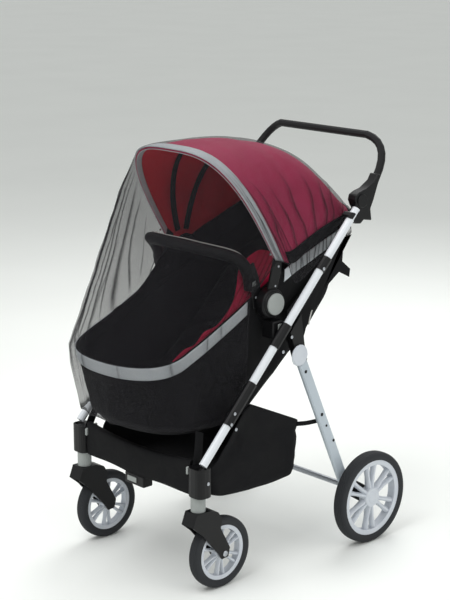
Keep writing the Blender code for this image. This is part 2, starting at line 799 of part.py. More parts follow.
def on_tube(share, side):
    """A point on the main tube's axis, as a share of the way from its top to its bottom."""
    top = Vector((side * TUBE_X, *TUBE_TOP))
    bottom = Vector((side * TUBE_X, *TUBE_BOTTOM))
    return top.lerp(bottom, share)


def hollow_sleeve(name, start, end, inner, outer, finish):
    """A round sleeve around a tube."""
    axis = (end - start).normalized()
    across = Vector((1, 0, 0))
    up = axis.cross(across)
    sides = TUBE_SIDES
    points = []
    for centre in (start, end):
        for radius in (outer, inner):
            for k in range(sides):
                angle = 2 * math.pi * k / sides
                points.append(centre + (across * math.cos(angle) + up * math.sin(angle)) * radius)
    faces = []
    for k in range(sides):
        after = (k + 1) % sides
        out_a, in_a, out_b, in_b = 0, sides, 2 * sides, 3 * sides
        faces.append([out_a + k, out_a + after, out_b + after, out_b + k])
        faces.append([in_a + after, in_a + k, in_b + k, in_b + after])
        faces.append([out_a + after, out_a + k, in_a + k, in_a + after])
        faces.append([out_b + k, out_b + after, in_b + after, in_b + k])
    mesh_object(name, points, faces, finish, 35)


def build_side_frames():
    """The white main tubes with their black sleeves, and the rear legs with their pivots."""
    for label, side in SIDES:
        tube("main_tube_" + label, [on_tube(0, side), on_tube(1, side)], TUBE_RADIUS, WHITE_PAINT)
        for sleeve in SLEEVES:
            hollow_sleeve("sleeve_%s_%s" % (sleeve.label, label), on_tube(sleeve.start, side),
                          on_tube(sleeve.end, side), TUBE_ROOM, TUBE_ROOM + SLEEVE_WALL, BLACK_PLASTIC)
        build_rear_leg(label, side)


def build_rear_leg(label, side):
    """One flat rear leg with the bracket and the round cap at its top."""
    top, bottom = Vector(LEG_TOP), Vector(LEG_BOTTOM)
    down = (bottom - top).normalized()
    across = Vector((-down.y, down.x)) * (LEG_WIDTH / 2)
    outline = [tuple(top + across), tuple(top - across), tuple(bottom - across), tuple(bottom + across)]
    x_inner = LEG_X - LEG_THICKNESS / 2
    x_outer = LEG_X + LEG_THICKNESS / 2
    prism("rear_leg_" + label, outline, side * x_inner, side * x_outer, WHITE_PAINT, 0.003)
    cap_x = x_outer + GAP
    reach = on_tube(BRACKET_TUBE_PLACE, side).yz
    tube_way = (Vector(TUBE_BOTTOM) - Vector(TUBE_TOP)).normalized()
    beside = reach + Vector((-tube_way.y, tube_way.x)) * (TUBE_ROOM + SLEEVE_WALL + GAP)
    end = top - down * GAP
    outline = [
        tuple(beside - tube_way * BRACKET_ABOVE),
        BRACKET_BACK,
        tuple(end + across),
        tuple(end - across),
        tuple(beside + tube_way * BRACKET_BELOW),
    ]
    prism("leg_bracket_" + label, outline, side * (TUBE_X - TUBE_RADIUS), side * x_outer, BLACK_PLASTIC)
    prism("pivot_cap_" + label, disc_outline(PIVOT_Y, PIVOT_Z, PIVOT_RADIUS), side * cap_x,
          side * (cap_x + PIVOT_THICKNESS), WHITE_PAINT, 0.003)


def build_handle():
    """The foam-covered handle and the round joints it turns in."""
    low = Vector((HANDLE_HALF_WIDTH, *HANDLE_LOW))
    middle = Vector((HANDLE_HALF_WIDTH, *HANDLE_MIDDLE))
    high = Vector((HANDLE_HALF_WIDTH - HANDLE_CORNER, *HANDLE_HIGH))
    line = [low]
    for step in range(1, HANDLE_STEPS + 1):
        share = step / HANDLE_STEPS
        first = low.lerp(middle, share)
        bend = Vector((HANDLE_HALF_WIDTH, HANDLE_HIGH[0] + HANDLE_BEND, HANDLE_HIGH[1]))
        second = bend.lerp(high, share)
        line.append(first.lerp(second, share))
    line += [Vector((-point.x, point.y, point.z)) for point in reversed(line)]
    tube("handlebar", line, HANDLE_RADIUS, BLACK_FOAM, 3)
    for label, side in SIDES:
        prism("handle_knob_" + label, disc_outline(KNOB_Y, KNOB_Z, KNOB_RADIUS),
              side * (KNOB_X - KNOB_THICKNESS / 2), side * (KNOB_X + KNOB_THICKNESS / 2),
              BLACK_PLASTIC, 0.005)


def ring_point(x, y, z, radius, angle):
    """A point of a wheel, turned about its axle along X."""
    return (x, y + radius * math.sin(angle), z - radius * math.cos(angle))


def build_tyre(wheel, label, side, centre_z):
    """A tyre: a rounded ring whose lowest facet lies flat on the floor."""
    half = wheel.width / 2
    deep = wheel.radius - wheel.rim_radius - GAP
    outer_side = (
        (half * TYRE_TREAD_SHARE, wheel.radius),
        (half, wheel.radius - deep * TYRE_SHOULDER_SHARE),
        (half * TYRE_BEAD_SHARE, wheel.radius - deep),
    )
    profile = [(-x, radius) for x, radius in reversed(outer_side)] + list(outer_side)
    points = []
    for k in range(WHEEL_SIDES):
        angle = 2 * math.pi * (k + 0.5) / WHEEL_SIDES
        for x, radius in profile:
            points.append(ring_point(side * wheel.x + x, wheel.y, centre_z, radius, angle))
    count = len(profile)
    faces = grid_faces(WHEEL_SIDES, count, closed=True)
    last = (WHEEL_SIDES - 1) * count
    for column in range(count):
        after = (column + 1) % count
        faces.append([last + column, last + after, after, column])
    mesh_object("%s_tyre_%s" % (wheel.label, label), points, faces, TYRE_RUBBER, 50)


def build_rim(wheel, label, side, centre_z):
    """A wheel centre: hub, pairs of spokes and rim, open between the spokes."""
    half = wheel.width * HUB_AND_RIM_WIDTH_SHARE / 2
    radii = (wheel.hub_radius, wheel.rim_inner, wheel.rim_radius)
    groups = WHEEL_SIDES // len(SPOKE_PATTERN)
    cells = SPOKE_PATTERN * groups
    points = []
    for x in (-half, half):
        points.append((side * wheel.x + x, wheel.y, centre_z))
        for radius in radii:
            for k in range(WHEEL_SIDES):
                angle = 2 * math.pi * (k + 0.5) / WHEEL_SIDES
                points.append(ring_point(side * wheel.x + x, wheel.y, centre_z, radius, angle))
    face_points = 1 + len(radii) * WHEEL_SIDES

    def at(layer, ring, k):
        return layer * face_points + 1 + ring * WHEEL_SIDES + k % WHEEL_SIDES

    faces = []
    for k in range(WHEEL_SIDES):
        for layer in (0, 1):
            faces.append([layer * face_points, at(layer, 0, k), at(layer, 0, k + 1)])
            faces.append([at(layer, 1, k), at(layer, 1, k + 1), at(layer, 2, k + 1), at(layer, 2, k)])
            if cells[k]:
                faces.append([at(layer, 0, k), at(layer, 0, k + 1), at(layer, 1, k + 1), at(layer, 1, k)])
        faces.append([at(0, 2, k), at(0, 2, k + 1), at(1, 2, k + 1), at(1, 2, k)])
        if not cells[k]:
            faces.append([at(0, 0, k), at(0, 0, k + 1), at(1, 0, k + 1), at(1, 0, k)])
            faces.append([at(0, 1, k), at(0, 1, k + 1), at(1, 1, k + 1), at(1, 1, k)])
        if cells[k] != cells[k - 1]:
            faces.append([at(0, 0, k), at(0, 1, k), at(1, 1, k), at(1, 0, k)])
    mesh_object("%s_wheel_%s" % (wheel.label, label), points, faces, WHITE_PAINT, 30)


def wheel_height(wheel):
    """Height of a wheel's axle, so that its lowest facet is on the floor."""
    return wheel.radius * math.cos(math.pi / WHEEL_SIDES)


def build_wheels():
    """Both pairs of wheels with what carries them."""
    for label, side in SIDES:
        for wheel in (REAR_WHEEL, FRONT_WHEEL):
            centre_z = wheel_height(wheel)
            build_tyre(wheel, label, side, centre_z)
            build_rim(wheel, label, side, centre_z)
        build_rear_bracket(label, side)
        build_caster(label, side)
    inner = LEG_X - LEG_THICKNESS / 2 - GAP
    tube("rear_axle", [Vector((-inner, AXLE_Y, AXLE_Z)), Vector((inner, AXLE_Y, AXLE_Z))],
         AXLE_RADIUS, GREY_STEEL)


def build_rear_bracket(label, side):
    """The black piece from the leg's foot to the rear wheel's hub."""
    centre_z = wheel_height(REAR_WHEEL)
    inner_face = REAR_WHEEL.x - REAR_WHEEL.width / 2 - 0.002
    outline = [
        (LEG_BOTTOM[0] - 0.020, LEG_BOTTOM[1] - 0.010),
        (LEG_BOTTOM[0] - 0.004, LEG_BOTTOM[1] - 0.032),
        (REAR_WHEEL.y - 0.006, centre_z - 0.020),
        (REAR_WHEEL.y + 0.018, centre_z - 0.006),
        (REAR_WHEEL.y + 0.016, centre_z + 0.018),
        (LEG_BOTTOM[0] + 0.016, LEG_BOTTOM[1] + 0.006),
    ]
    leg_inner = LEG_X + LEG_THICKNESS / 2 + GAP
    prism("rear_bracket_" + label, outline, side * leg_inner, side * inner_face, BLACK_PLASTIC, 0.002)


def build_caster(label, side):
    """A front caster: its round collar, the crown over the wheel and the two fork plates."""
    wheel = FRONT_WHEEL
    centre_z = wheel_height(wheel)
    reach_in = side * (wheel.x - wheel.width / 2 - FORK_GAP - FORK_PLATE)
    reach_out = side * (wheel.x + wheel.width / 2 + FORK_GAP + FORK_PLATE)
    plates = (("inner", reach_in, reach_in + side * FORK_PLATE),
              ("outer", reach_out - side * FORK_PLATE, reach_out))
    crown_low = centre_z + wheel.radius + 2 * FORK_GAP
    over_wheel = [
        (CASTER_Y + 0.058, crown_low),
        (CASTER_Y + 0.046, FORK_CROWN_Z - 0.010),
        (CASTER_Y + 0.022, FORK_CROWN_Z),
        (CASTER_Y - 0.022, FORK_CROWN_Z),
        (CASTER_Y - 0.034, crown_low - 0.002),
    ]
    down_plate = [
        (CASTER_Y - 0.008, crown_low - 0.024),
        (wheel.y - 0.020, centre_z + 0.004),
        (wheel.y - 0.010, centre_z - 0.012),
        (wheel.y + 0.010, centre_z - 0.010),
        (wheel.y + 0.016, centre_z + 0.012),
        (CASTER_Y + 0.054, crown_low - 0.024),
    ]
    for spot, low, high in plates:
        prism("fork_%s_%s" % (spot, label), over_wheel + down_plate, low, high, BLACK_PLASTIC)
    prism("fork_crown_" + label, over_wheel, reach_in + side * (FORK_PLATE + GAP),
          reach_out - side * (FORK_PLATE + GAP), BLACK_PLASTIC)
    collar = plan_oval(side * wheel.x, CASTER_Y, (CASTER_RADIUS, CASTER_RADIUS), 2.0, CASTER_SIDES)
    post("caster_collar_" + label, collar, FORK_CROWN_Z + GAP, CASTER_TOP_Z, GREY_PLASTIC)


def build_front():
    """The blocks at the tubes' lower ends and the cross member between them."""
    x, y = FRONT_BLOCK_MIDDLE
    for label, side in SIDES:
        outline = plan_oval(side * x, y, FRONT_BLOCK_HALF_SIZE, FRONT_BLOCK_SQUARENESS, FRONT_BLOCK_SIDES)
        block = post("front_block_" + label, outline, *FRONT_BLOCK_Z, BLACK_PLASTIC)
        cut_from_tube(block, side)
    reach = x - FRONT_BLOCK_HALF_SIZE[0] - GAP
    prism("cross_member", box_outline(CROSS_MEMBER_Y, CROSS_MEMBER_Z), -reach, reach, BLACK_PLASTIC, 0.008)


def cut_from_tube(thing, side):
    """Leave the main tube's own room, with its gap, out of a block around it."""
    top, bottom = on_tube(0.5, side), on_tube(1.02, side)
    axis = (bottom - top).normalized()
    across = Vector((1, 0, 0))
    up = axis.cross(across)
    sides = TUBE_SIDES
    points = []
    for centre in (top, bottom):
        for k in range(sides):
            angle = 2 * math.pi * k / sides
            points.append(centre + (across * math.cos(angle) + up * math.sin(angle)) * TUBE_ROOM)
    faces = grid_faces(2, sides, closed=True) + [list(range(sides)), list(range(sides, 2 * sides))]
    cutter = mesh_object(thing.name + "_room", points, faces, BLACK_PLASTIC)
    cutter.hide_render = True
    cutter.display_type = "WIRE"
    cut = thing.modifiers.new("Room", "BOOLEAN")
    cut.operation = "DIFFERENCE"
    cut.object = cutter


def build_basket():
    """The cloth storage basket: an open bag between the side frames, higher at its sides."""
    rings = []
    for drop, grow in zip(BASKET_DROPS, BASKET_INSETS):
        half = BASKET_HALF_WIDTH + grow
        front, back = BASKET_FRONT_Y - grow, BASKET_BACK_Y + grow
        turn = BASKET_CORNER
        quarter = [math.radians(90 * step / BASKET_CORNER_STEPS) for step in range(BASKET_CORNER_STEPS + 1)]
        line = [(0.0, front), ((half - turn) * 0.5, front)]
        line += [(half - turn + turn * math.sin(a), front + turn - turn * math.cos(a)) for a in quarter]
        for step in range(1, BASKET_SIDE_STEPS):
            line.append((half, front + turn + (back - front - 2 * turn) * step / BASKET_SIDE_STEPS))
        line += [(half - turn + turn * math.cos(a), back - turn + turn * math.sin(a)) for a in quarter]
        line += [((half - turn) * 0.5, back), (0.0, back)]
        around = line + [(-x, y) for x, y in reversed(line[1:-1])]
        ring = []
        for x, y in around:
            top = read_line(BASKET_LINE, "y", "top_z", y)
            low = read_line(BASKET_LINE, "y", "floor_z", y)
            ring.append(Vector((x, y, top + (low - top) * drop)))
        rings.append(ring)
    open_bag("storage_basket", rings, BASKET_WALL, BLACK_CLOTH)


def main():
    """Build every piece of the stroller and its net."""
    clear_scene()
    build_tub()
    build_rim_bands()
    build_pad()
    build_hood()
    build_bumper()
    build_hubs()
    build_side_frames()
    build_handle()
    build_wheels()
    build_front()
    build_basket()
    build_net()


main()
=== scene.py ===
"""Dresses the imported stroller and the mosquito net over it, for the view of the photograph.

Metres, +Z up. The seat's foot end faces -Y, the handle +Y, and the near side is +X. The cloth is
modelled here as rows of points that follow the hood and the tub, with folds, creases and gathers
added to them, so nothing is simulated.
"""

import json
import logging
import math
from dataclasses import dataclass
from enum import Enum
from typing import Callable, NamedTuple, Optional, Sequence, Union

import bmesh
import bpy
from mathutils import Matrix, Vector, noise

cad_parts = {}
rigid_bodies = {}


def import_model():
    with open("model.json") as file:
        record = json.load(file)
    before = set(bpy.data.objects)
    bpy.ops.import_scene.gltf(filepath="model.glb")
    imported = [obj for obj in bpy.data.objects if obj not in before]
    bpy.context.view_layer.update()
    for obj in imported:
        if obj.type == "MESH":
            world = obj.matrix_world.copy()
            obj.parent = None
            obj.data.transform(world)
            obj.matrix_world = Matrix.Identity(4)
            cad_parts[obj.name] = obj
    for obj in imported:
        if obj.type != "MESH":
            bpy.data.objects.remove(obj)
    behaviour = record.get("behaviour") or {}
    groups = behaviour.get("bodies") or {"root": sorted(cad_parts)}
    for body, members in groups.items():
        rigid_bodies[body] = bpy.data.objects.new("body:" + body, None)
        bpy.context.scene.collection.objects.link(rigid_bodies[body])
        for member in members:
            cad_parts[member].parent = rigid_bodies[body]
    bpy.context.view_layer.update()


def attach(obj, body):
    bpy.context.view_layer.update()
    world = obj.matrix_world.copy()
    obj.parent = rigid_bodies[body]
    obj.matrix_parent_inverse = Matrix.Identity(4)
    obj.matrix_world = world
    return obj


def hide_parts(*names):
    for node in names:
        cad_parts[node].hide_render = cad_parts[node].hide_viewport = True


LOG = logging.getLogger("stroller_net")
BODY = "root"
GAP = 0.0003
SIDES = (("left", 1), ("right", -1))
Rows = list[list[Vector]]
Outline = Sequence[tuple[float, float]]


# Node materials
def linear(code: str) -> tuple[float, float, float, float]:
    """Turn an sRGB hex colour into linear values.

    Args:
        code: six hex digits.

    Returns:
        Red, green, blue and an alpha of 1.
    """
    parts = [int(code[k:k + 2], 16) / 255 for k in (0, 2, 4)]
    values = [v / 12.92 if v <= 0.04045 else ((v + 0.055) / 1.055) ** 2.4 for v in parts]
    return (values[0], values[1], values[2], 1.0)


def add(
    tree: bpy.types.NodeTree,
    kind: str,
    values: Optional[dict] = None,
    links: Optional[dict] = None,
    **settings: object,
) -> bpy.types.Node:
    """Add one node with its settings, socket values and incoming links.

    Args:
        tree: the material's node tree.
        kind: the node's type name.
        values: socket name or index to value.
        links: socket name or index to the output that feeds it.
        **settings: attributes of the node itself.

    Returns:
        The new node.
    """
    node = tree.nodes.new(kind)
    for key, value in settings.items():
        setattr(node, key, value)
    for key, value in (values or {}).items():
        node.inputs[key].default_value = value
    for key, source in (links or {}).items():
        tree.links.new(source, node.inputs[key])
    return node


def new_material(name: str) -> tuple[bpy.types.Material, bpy.types.NodeTree, bpy.types.Node]:
    """Make a material with its Principled shader.

    Args:
        name: the real material's name.

    Returns:
        The material, its tree and its shader node.
    """
    material = bpy.data.materials.new(name)
    material.use_nodes = True
    tree = material.node_tree
    return material, tree, tree.nodes["Principled BSDF"]


def feed(tree: bpy.types.NodeTree, shader: bpy.types.Node, values: dict, links: dict) -> None:
    """Set the Principled shader's own sockets and link the outputs that drive the others.

    Args:
        tree: the material's node tree.
        shader: its Principled shader.
        values: socket name to value.
        links: socket name to the output that feeds it.
    """
    for key, value in values.items():
        shader.inputs[key].default_value = value
    for key, source in links.items():
        tree.links.new(source, shader.inputs[key])


def wave_scale(pitch_mm: float) -> float:
    """Scale of a wave texture whose lines stand a pitch apart, in metres' coordinates."""
    return 2 * math.pi / 20 * 1000 / pitch_mm


@dataclass(frozen=True)
class WovenCloth:
    """Plain-woven polyester: matt threads that break up the light, with soft creases.

    The weave is drawn on the cloth's own lengths, so a thread is as wide everywhere. The real thread is about
    0.3 mm, and it is drawn coarser so that it shows. The colour is painted lighter on the raised threads and
    crease crests and darker in their hollows, as painted highlight and painted shade.
    """

    name: str
    colour: str
    # Lighter colour painted on the raised threads and crease crests, as a painted highlight
    lit_crest_and_mottle_colour: str
    thread_mm: float = 1.4
    crease_mm: float = 40.0
    crease_height: float = 0.45
    roughness: float = 0.82
    sheen: float = 0.15
    sheen_colour: str = "9A9A9A"
    gloss: float = 0.35

    def material(self) -> bpy.types.Material:
        """Build the node material."""
        material, tree, shader = new_material(self.name)
        body = add(tree, "ShaderNodeTexCoord")
        scale = wave_scale(self.thread_mm)
        warp, weft = [
            add(tree, "ShaderNodeTexWave", {"Scale": scale, "Distortion": 0.5, "Detail": 1.0},
                {"Vector": body.outputs["UV"]}, bands_direction=way)
            for way in ("X", "Y")
        ]
        weave = add(tree, "ShaderNodeMath", links={0: warp.outputs["Fac"], 1: weft.outputs["Fac"]},
                    operation="MULTIPLY")
        crease = add(tree, "ShaderNodeTexNoise",
                     {"Scale": 1000 / self.crease_mm, "Detail": 5.0, "Roughness": 0.55, "Distortion": 0.7},
                     {"Vector": body.outputs["Object"]})
        # Painted light and shade: the colour follows the height of the threads and creases, lighter on their
        # crests and darker in their hollows
        crest_light = add(tree, "ShaderNodeMath", {1: 0.3},
                   {0: weave.outputs[0], 2: crease.outputs["Fac"]}, operation="MULTIPLY_ADD")
        share = add(tree, "ShaderNodeMapRange", {"From Min": 0.35, "From Max": 0.95},
                    {"Value": crest_light.outputs[0]})
        colour = add(tree, "ShaderNodeMixRGB",
                     {"Color1": linear(self.colour), "Color2": linear(self.lit_crest_and_mottle_colour)},
                     {"Fac": share.outputs[0]})
        rough = add(tree, "ShaderNodeMapRange",
                    {"From Min": 0.3, "From Max": 0.7, "To Min": self.roughness - 0.07,
                     "To Max": min(self.roughness + 0.08, 1.0)}, {"Value": crease.outputs["Fac"]})
        folds = add(tree, "ShaderNodeBump", {"Strength": self.crease_height, "Distance": 0.004},
                    {"Height": crease.outputs["Fac"]})
        threads = add(tree, "ShaderNodeBump", {"Strength": 0.15, "Distance": 0.0004},
                      {"Height": weave.outputs[0], "Normal": folds.outputs["Normal"]})
        feed(tree, shader,
             {"Sheen Weight": self.sheen, "Sheen Roughness": 0.5, "Sheen Tint": linear(self.sheen_colour),
              "IOR": 1.5, "Specular IOR Level": self.gloss},
             {"Base Color": colour.outputs[0], "Roughness": rough.outputs[0],
              "Normal": threads.outputs["Normal"]})
        return material


@dataclass(frozen=True)
class NetTulle:
    """Knitted polyester tulle: a sheer dark veil, denser where the cloth is gathered.

    The real holes are about 1.2 mm and are drawn at 2 mm so that the mesh shows close to. The gather attribute
    of the mesh says how far the cloth is doubled; there the net is drawn denser and is also painted darker, as
    painted shade in its folds.
    """

    name: str = "polyester_tulle"
    colour: str = "1B1A1E"
    pitch_mm: float = 2.0
    sheer: float = 0.30
    thread: float = 0.22
    gathered: float = 0.60
    roughness: float = 0.75

    def material(self) -> bpy.types.Material:
        """Build the node material, whose see-through part comes from its threads."""
        material, tree, shader = new_material(self.name)
        body = add(tree, "ShaderNodeTexCoord")
        turned = add(tree, "ShaderNodeMapping", {"Rotation": (0, 0, math.radians(45))},
                     {"Vector": body.outputs["UV"]})
        scale = wave_scale(self.pitch_mm)
        threads = [
            add(tree, "ShaderNodeTexWave", {"Scale": scale}, {"Vector": turned.outputs[0]},
                bands_direction=way)
            for way in ("X", "Y")
        ]
        mesh = add(tree, "ShaderNodeMath", links={0: threads[0].outputs["Fac"], 1: threads[1].outputs["Fac"]},
                   operation="MAXIMUM")
        holes = add(tree, "ShaderNodeMapRange",
                    {"From Min": 0.45, "From Max": 1.0, "To Min": self.sheer,
                     "To Max": self.sheer + self.thread},
                    {"Value": mesh.outputs[0]})
        cloud = add(tree, "ShaderNodeTexNoise", {"Scale": 9.0, "Detail": 3.0},
                    {"Vector": body.outputs["Object"]})
        uneven = add(tree, "ShaderNodeMapRange", {"To Min": -0.06, "To Max": 0.08},
                     {"Value": cloud.outputs["Fac"]})
        base = add(tree, "ShaderNodeMath", links={0: holes.outputs[0], 1: uneven.outputs[0]}, operation="ADD")
        gather_and_shade = add(tree, "ShaderNodeAttribute", attribute_name="gather_and_shade")
        cover = add(tree, "ShaderNodeMath", {1: self.gathered},
                    {0: gather_and_shade.outputs["Fac"], 2: base.outputs[0]}, operation="MULTIPLY_ADD", use_clamp=True)
        # Painted shade: the threads are coloured darker where the cloth is gathered, for the shade in its folds
        fold_shade = add(tree, "ShaderNodeMapRange", {"To Min": 0.0, "To Max": 1.0},
                   {"Value": gather_and_shade.outputs["Fac"]})
        colour = add(tree, "ShaderNodeMixRGB", {"Color1": linear(self.colour), "Color2": linear("141316")},
                     {"Fac": fold_shade.outputs[0]})
        bump = add(tree, "ShaderNodeBump", {"Strength": 0.25, "Distance": 0.0005},
                   {"Height": mesh.outputs[0]})
        feed(tree, shader,
             {"Roughness": self.roughness, "Sheen Weight": 0.03, "Sheen Tint": linear("B9B4BE"),
              "Specular IOR Level": 0.2},
             {"Base Color": colour.outputs[0], "Alpha": cover.outputs[0], "Normal": bump.outputs["Normal"]})
        return material


@dataclass(frozen=True)
class Moulded:
    """Injection-moulded plastic or rubber: an even body colour with a fine spark-eroded grain."""

    name: str
    colour: str
    lit_crest_and_mottle_colour: str
    roughness: float = 0.42
    grain_mm: float = 1.2
    grain_height: float = 0.18
    coat: float = 0.0
    gloss: float = 0.5

    def material(self) -> bpy.types.Material:
        """Build the node material."""
        material, tree, shader = new_material(self.name)
        body = add(tree, "ShaderNodeTexCoord").outputs["Object"]
        grain = add(tree, "ShaderNodeTexNoise", {"Scale": 1000 / self.grain_mm, "Detail": 3.0},
                    {"Vector": body})
        cloud = add(tree, "ShaderNodeTexNoise", {"Scale": 22.0, "Detail": 4.0}, {"Vector": body})
        colour = add(tree, "ShaderNodeMixRGB",
                     {"Color1": linear(self.colour), "Color2": linear(self.lit_crest_and_mottle_colour)},
                     {"Fac": cloud.outputs["Fac"]})
        rough = add(tree, "ShaderNodeMapRange",
                    {"To Min": self.roughness - 0.08, "To Max": self.roughness + 0.10},
                    {"Value": cloud.outputs["Fac"]})
        bump = add(tree, "ShaderNodeBump", {"Strength": self.grain_height, "Distance": 0.0004},
                   {"Height": grain.outputs["Fac"]})
        feed(tree, shader,
             {"IOR": 1.46, "Specular IOR Level": self.gloss, "Coat Weight": self.coat, "Coat Roughness": 0.2},
             {"Base Color": colour.outputs[0], "Roughness": rough.outputs[0],
              "Normal": bump.outputs["Normal"]})
        return material


@dataclass(frozen=True)
class SatinMetal:
    """Powder-coated aluminium or plain steel tube: smooth, with a faint orange peel or draw lines."""

    name: str
    colour: str
    metallic: float
    roughness: float
    peel_mm: float = 2.5
    coat: float = 0.0

    def material(self) -> bpy.types.Material:
        """Build the node material."""
        material, tree, shader = new_material(self.name)
        body = add(tree, "ShaderNodeTexCoord").outputs["Object"]
        peel = add(tree, "ShaderNodeTexNoise", {"Scale": 1000 / self.peel_mm, "Detail": 2.0},
                   {"Vector": body})
        dust = add(tree, "ShaderNodeTexNoise", {"Scale": 14.0, "Detail": 5.0}, {"Vector": body})
        shade = [value * 0.90 for value in linear(self.colour)[:3]] + [1.0]
        colour = add(tree, "ShaderNodeMixRGB", {"Color1": linear(self.colour), "Color2": shade},
                     {"Fac": dust.outputs["Fac"]})
        rough = add(tree, "ShaderNodeMapRange",
                    {"To Min": self.roughness - 0.06, "To Max": self.roughness + 0.10},
                    {"Value": dust.outputs["Fac"]})
        bump = add(tree, "ShaderNodeBump", {"Strength": 0.06, "Distance": 0.0004},
                   {"Height": peel.outputs["Fac"]})
        feed(tree, shader,
             {"Metallic": self.metallic, "Coat Weight": self.coat, "Coat Roughness": 0.15},
             {"Base Color": colour.outputs[0], "Roughness": rough.outputs[0],
              "Normal": bump.outputs["Normal"]})
        return material


class Finish(Enum):
    """Every finish of the stroller and its net."""

    NET = NetTulle()
    # A cloth's second colour is painted on its raised threads and crease crests, as a painted highlight
    HOOD = WovenCloth("burgundy_polyester", "C61844", "D62C58", sheen=0.04, sheen_colour="C98A9C")
    HOOD_FRONT = WovenCloth("rose_faded_polyester", "C0305C", "CE446E", sheen=0.06, sheen_colour="D8A0B0")
    # Painted light: the lining is coloured far brighter than its real dark red, to make up for the shade inside
    # the hood
    LINING = WovenCloth("dark_red_lining", "F02438", "F63446", sheen=0.02, sheen_colour="B06070")
    TUB = WovenCloth("black_polyester_canvas", "0B0B0D", "121215", crease_mm=60.0, crease_height=0.7,
                     sheen=0.0, gloss=0.2)
    PAD = WovenCloth("black_quilted_cotton", "0A0A0C", "101013", crease_mm=26.0, sheen=0.0, gloss=0.1)
    BAND = WovenCloth("grey_woven_binding", "DCE2E8", "EAEEF1", thread_mm=2.0, crease_mm=18.0, sheen=0.02)
    BINDING = WovenCloth("black_edge_tape", "08080A", "0F0F12", thread_mm=2.0, crease_mm=18.0, sheen=0.0,
                         gloss=0.2)
    WEBBING = WovenCloth("light_nylon_webbing", "C9C9C4", "DEDED8", thread_mm=1.8, crease_mm=18.0, sheen=0.0)
    FOAM = Moulded("closed_cell_foam", "0E0E0F", "151517", roughness=0.62, grain_mm=1.6, grain_height=0.4,
                   gloss=0.3)
    BLACK = Moulded("black_polypropylene", "09090B", "101012", roughness=0.42, gloss=0.3)
    GREY = Moulded("grey_abs", "8A8F8D", "9CA09E", roughness=0.50)
    WHITE = Moulded("white_nylon", "BFC5CE", "D2D6DC", roughness=0.38)
    TYRE = Moulded("foamed_eva_rubber", "1D1F22", "2A2C30", roughness=0.75, grain_mm=2.0, grain_height=0.4)
    PAINT = SatinMetal("white_powder_coat", "DDE1E6", 0.0, 0.30, coat=0.35)
    # Painted shade: a darker bluish copy of the white powder coat for the rear legs, which are white in shade
    SHADED_LEG_PAINT = SatinMetal("white_powder_coat_painted_shade", "B9C3CC", 0.0, 0.34, coat=0.25)
    STEEL = SatinMetal("zinc_plated_steel", "B6BAC0", 1.0, 0.30)


class Dresser:
    """Builds each finish once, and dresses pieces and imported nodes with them."""

    def __init__(self) -> None:
        """Start with no material made."""
        self.made: dict[Finish, bpy.types.Material] = {}

    def material(self, finish: Finish) -> bpy.types.Material:
        """Return the material of a finish, made at its first use."""
        if finish not in self.made:
            self.made[finish] = finish.value.material()
        return self.made[finish]

    def dress(self, piece: bpy.types.Object, *finishes: Finish) -> None:
        """Give an object its finishes in the order of its material slots."""
        piece.data.materials.clear()
        for finish in finishes:
            piece.data.materials.append(self.material(finish))

    def ride(
        self,
        piece: bpy.types.Object,
        slot: Optional[str],
        *finishes: Finish,
        replaces: Sequence[str] = (),
    ) -> bpy.types.Object:
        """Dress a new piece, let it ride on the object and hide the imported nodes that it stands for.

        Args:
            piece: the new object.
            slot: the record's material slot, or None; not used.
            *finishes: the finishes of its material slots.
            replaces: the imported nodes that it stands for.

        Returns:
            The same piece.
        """
        self.dress(piece, *finishes)
        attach(piece, BODY)
        if replaces:
            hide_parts(*replaces)
        LOG.info("%s: %d faces", piece.name, len(getattr(piece.data, "polygons", ())))
        return piece


# Meshes
def link(name: str, mesh: bpy.types.Mesh, smooth_angle: Optional[float] = None) -> bpy.types.Object:
    """Link a mesh as a new object, shaded smooth below an angle in degrees.

    Args:
        name: the object's name.
        mesh: its mesh.
        smooth_angle: edges sharper than this stay hard; None shades the whole mesh smooth.

    Returns:
        The object.
    """
    thing = bpy.data.objects.new(name, mesh)
    bpy.context.scene.collection.objects.link(thing)
    mesh.shade_smooth()
    if smooth_angle is not None:
        mesh.set_sharp_from_angle(angle=math.radians(smooth_angle))
    return thing


def solid(name: str, points: Sequence, faces: Sequence, smooth_angle: float = 35.0) -> bpy.types.Object:
    """A closed mesh whose faces are turned to point out."""
    mesh = bpy.data.meshes.new(name)
    mesh.from_pydata([tuple(point) for point in points], [], faces)
    work = bmesh.new()
    work.from_mesh(mesh)
    bmesh.ops.recalc_face_normals(work, faces=work.faces)
    work.to_mesh(mesh)
    work.free()
    return link(name, mesh, smooth_angle)


def grid_faces(rows: int, columns: int, closed: bool = False) -> list[list[int]]:
    """Four-sided faces between rows of points, joined round when closed."""
    faces = []
    for row in range(rows - 1):
        for column in range(columns if closed else columns - 1):
            after = (column + 1) % columns
            here, above = row * columns, (row + 1) * columns
            faces.append([here + column, here + after, above + after, above + column])
    return faces


SEAT_MIDDLE = Vector((0.0, -0.020, 0.600))


def facing_out(points: Sequence[Vector], faces: list[list[int]]) -> list[list[int]]:
    """Turn a sheet's faces away from the middle of the seat."""
    turned = 0.0
    for face in faces[::7]:
        first, second, third = (points[face[k]] for k in (0, 1, 2))
        turned += (second - first).cross(third - first).dot(first - SEAT_MIDDLE)
    return faces if turned > 0 else [list(reversed(face)) for face in faces]


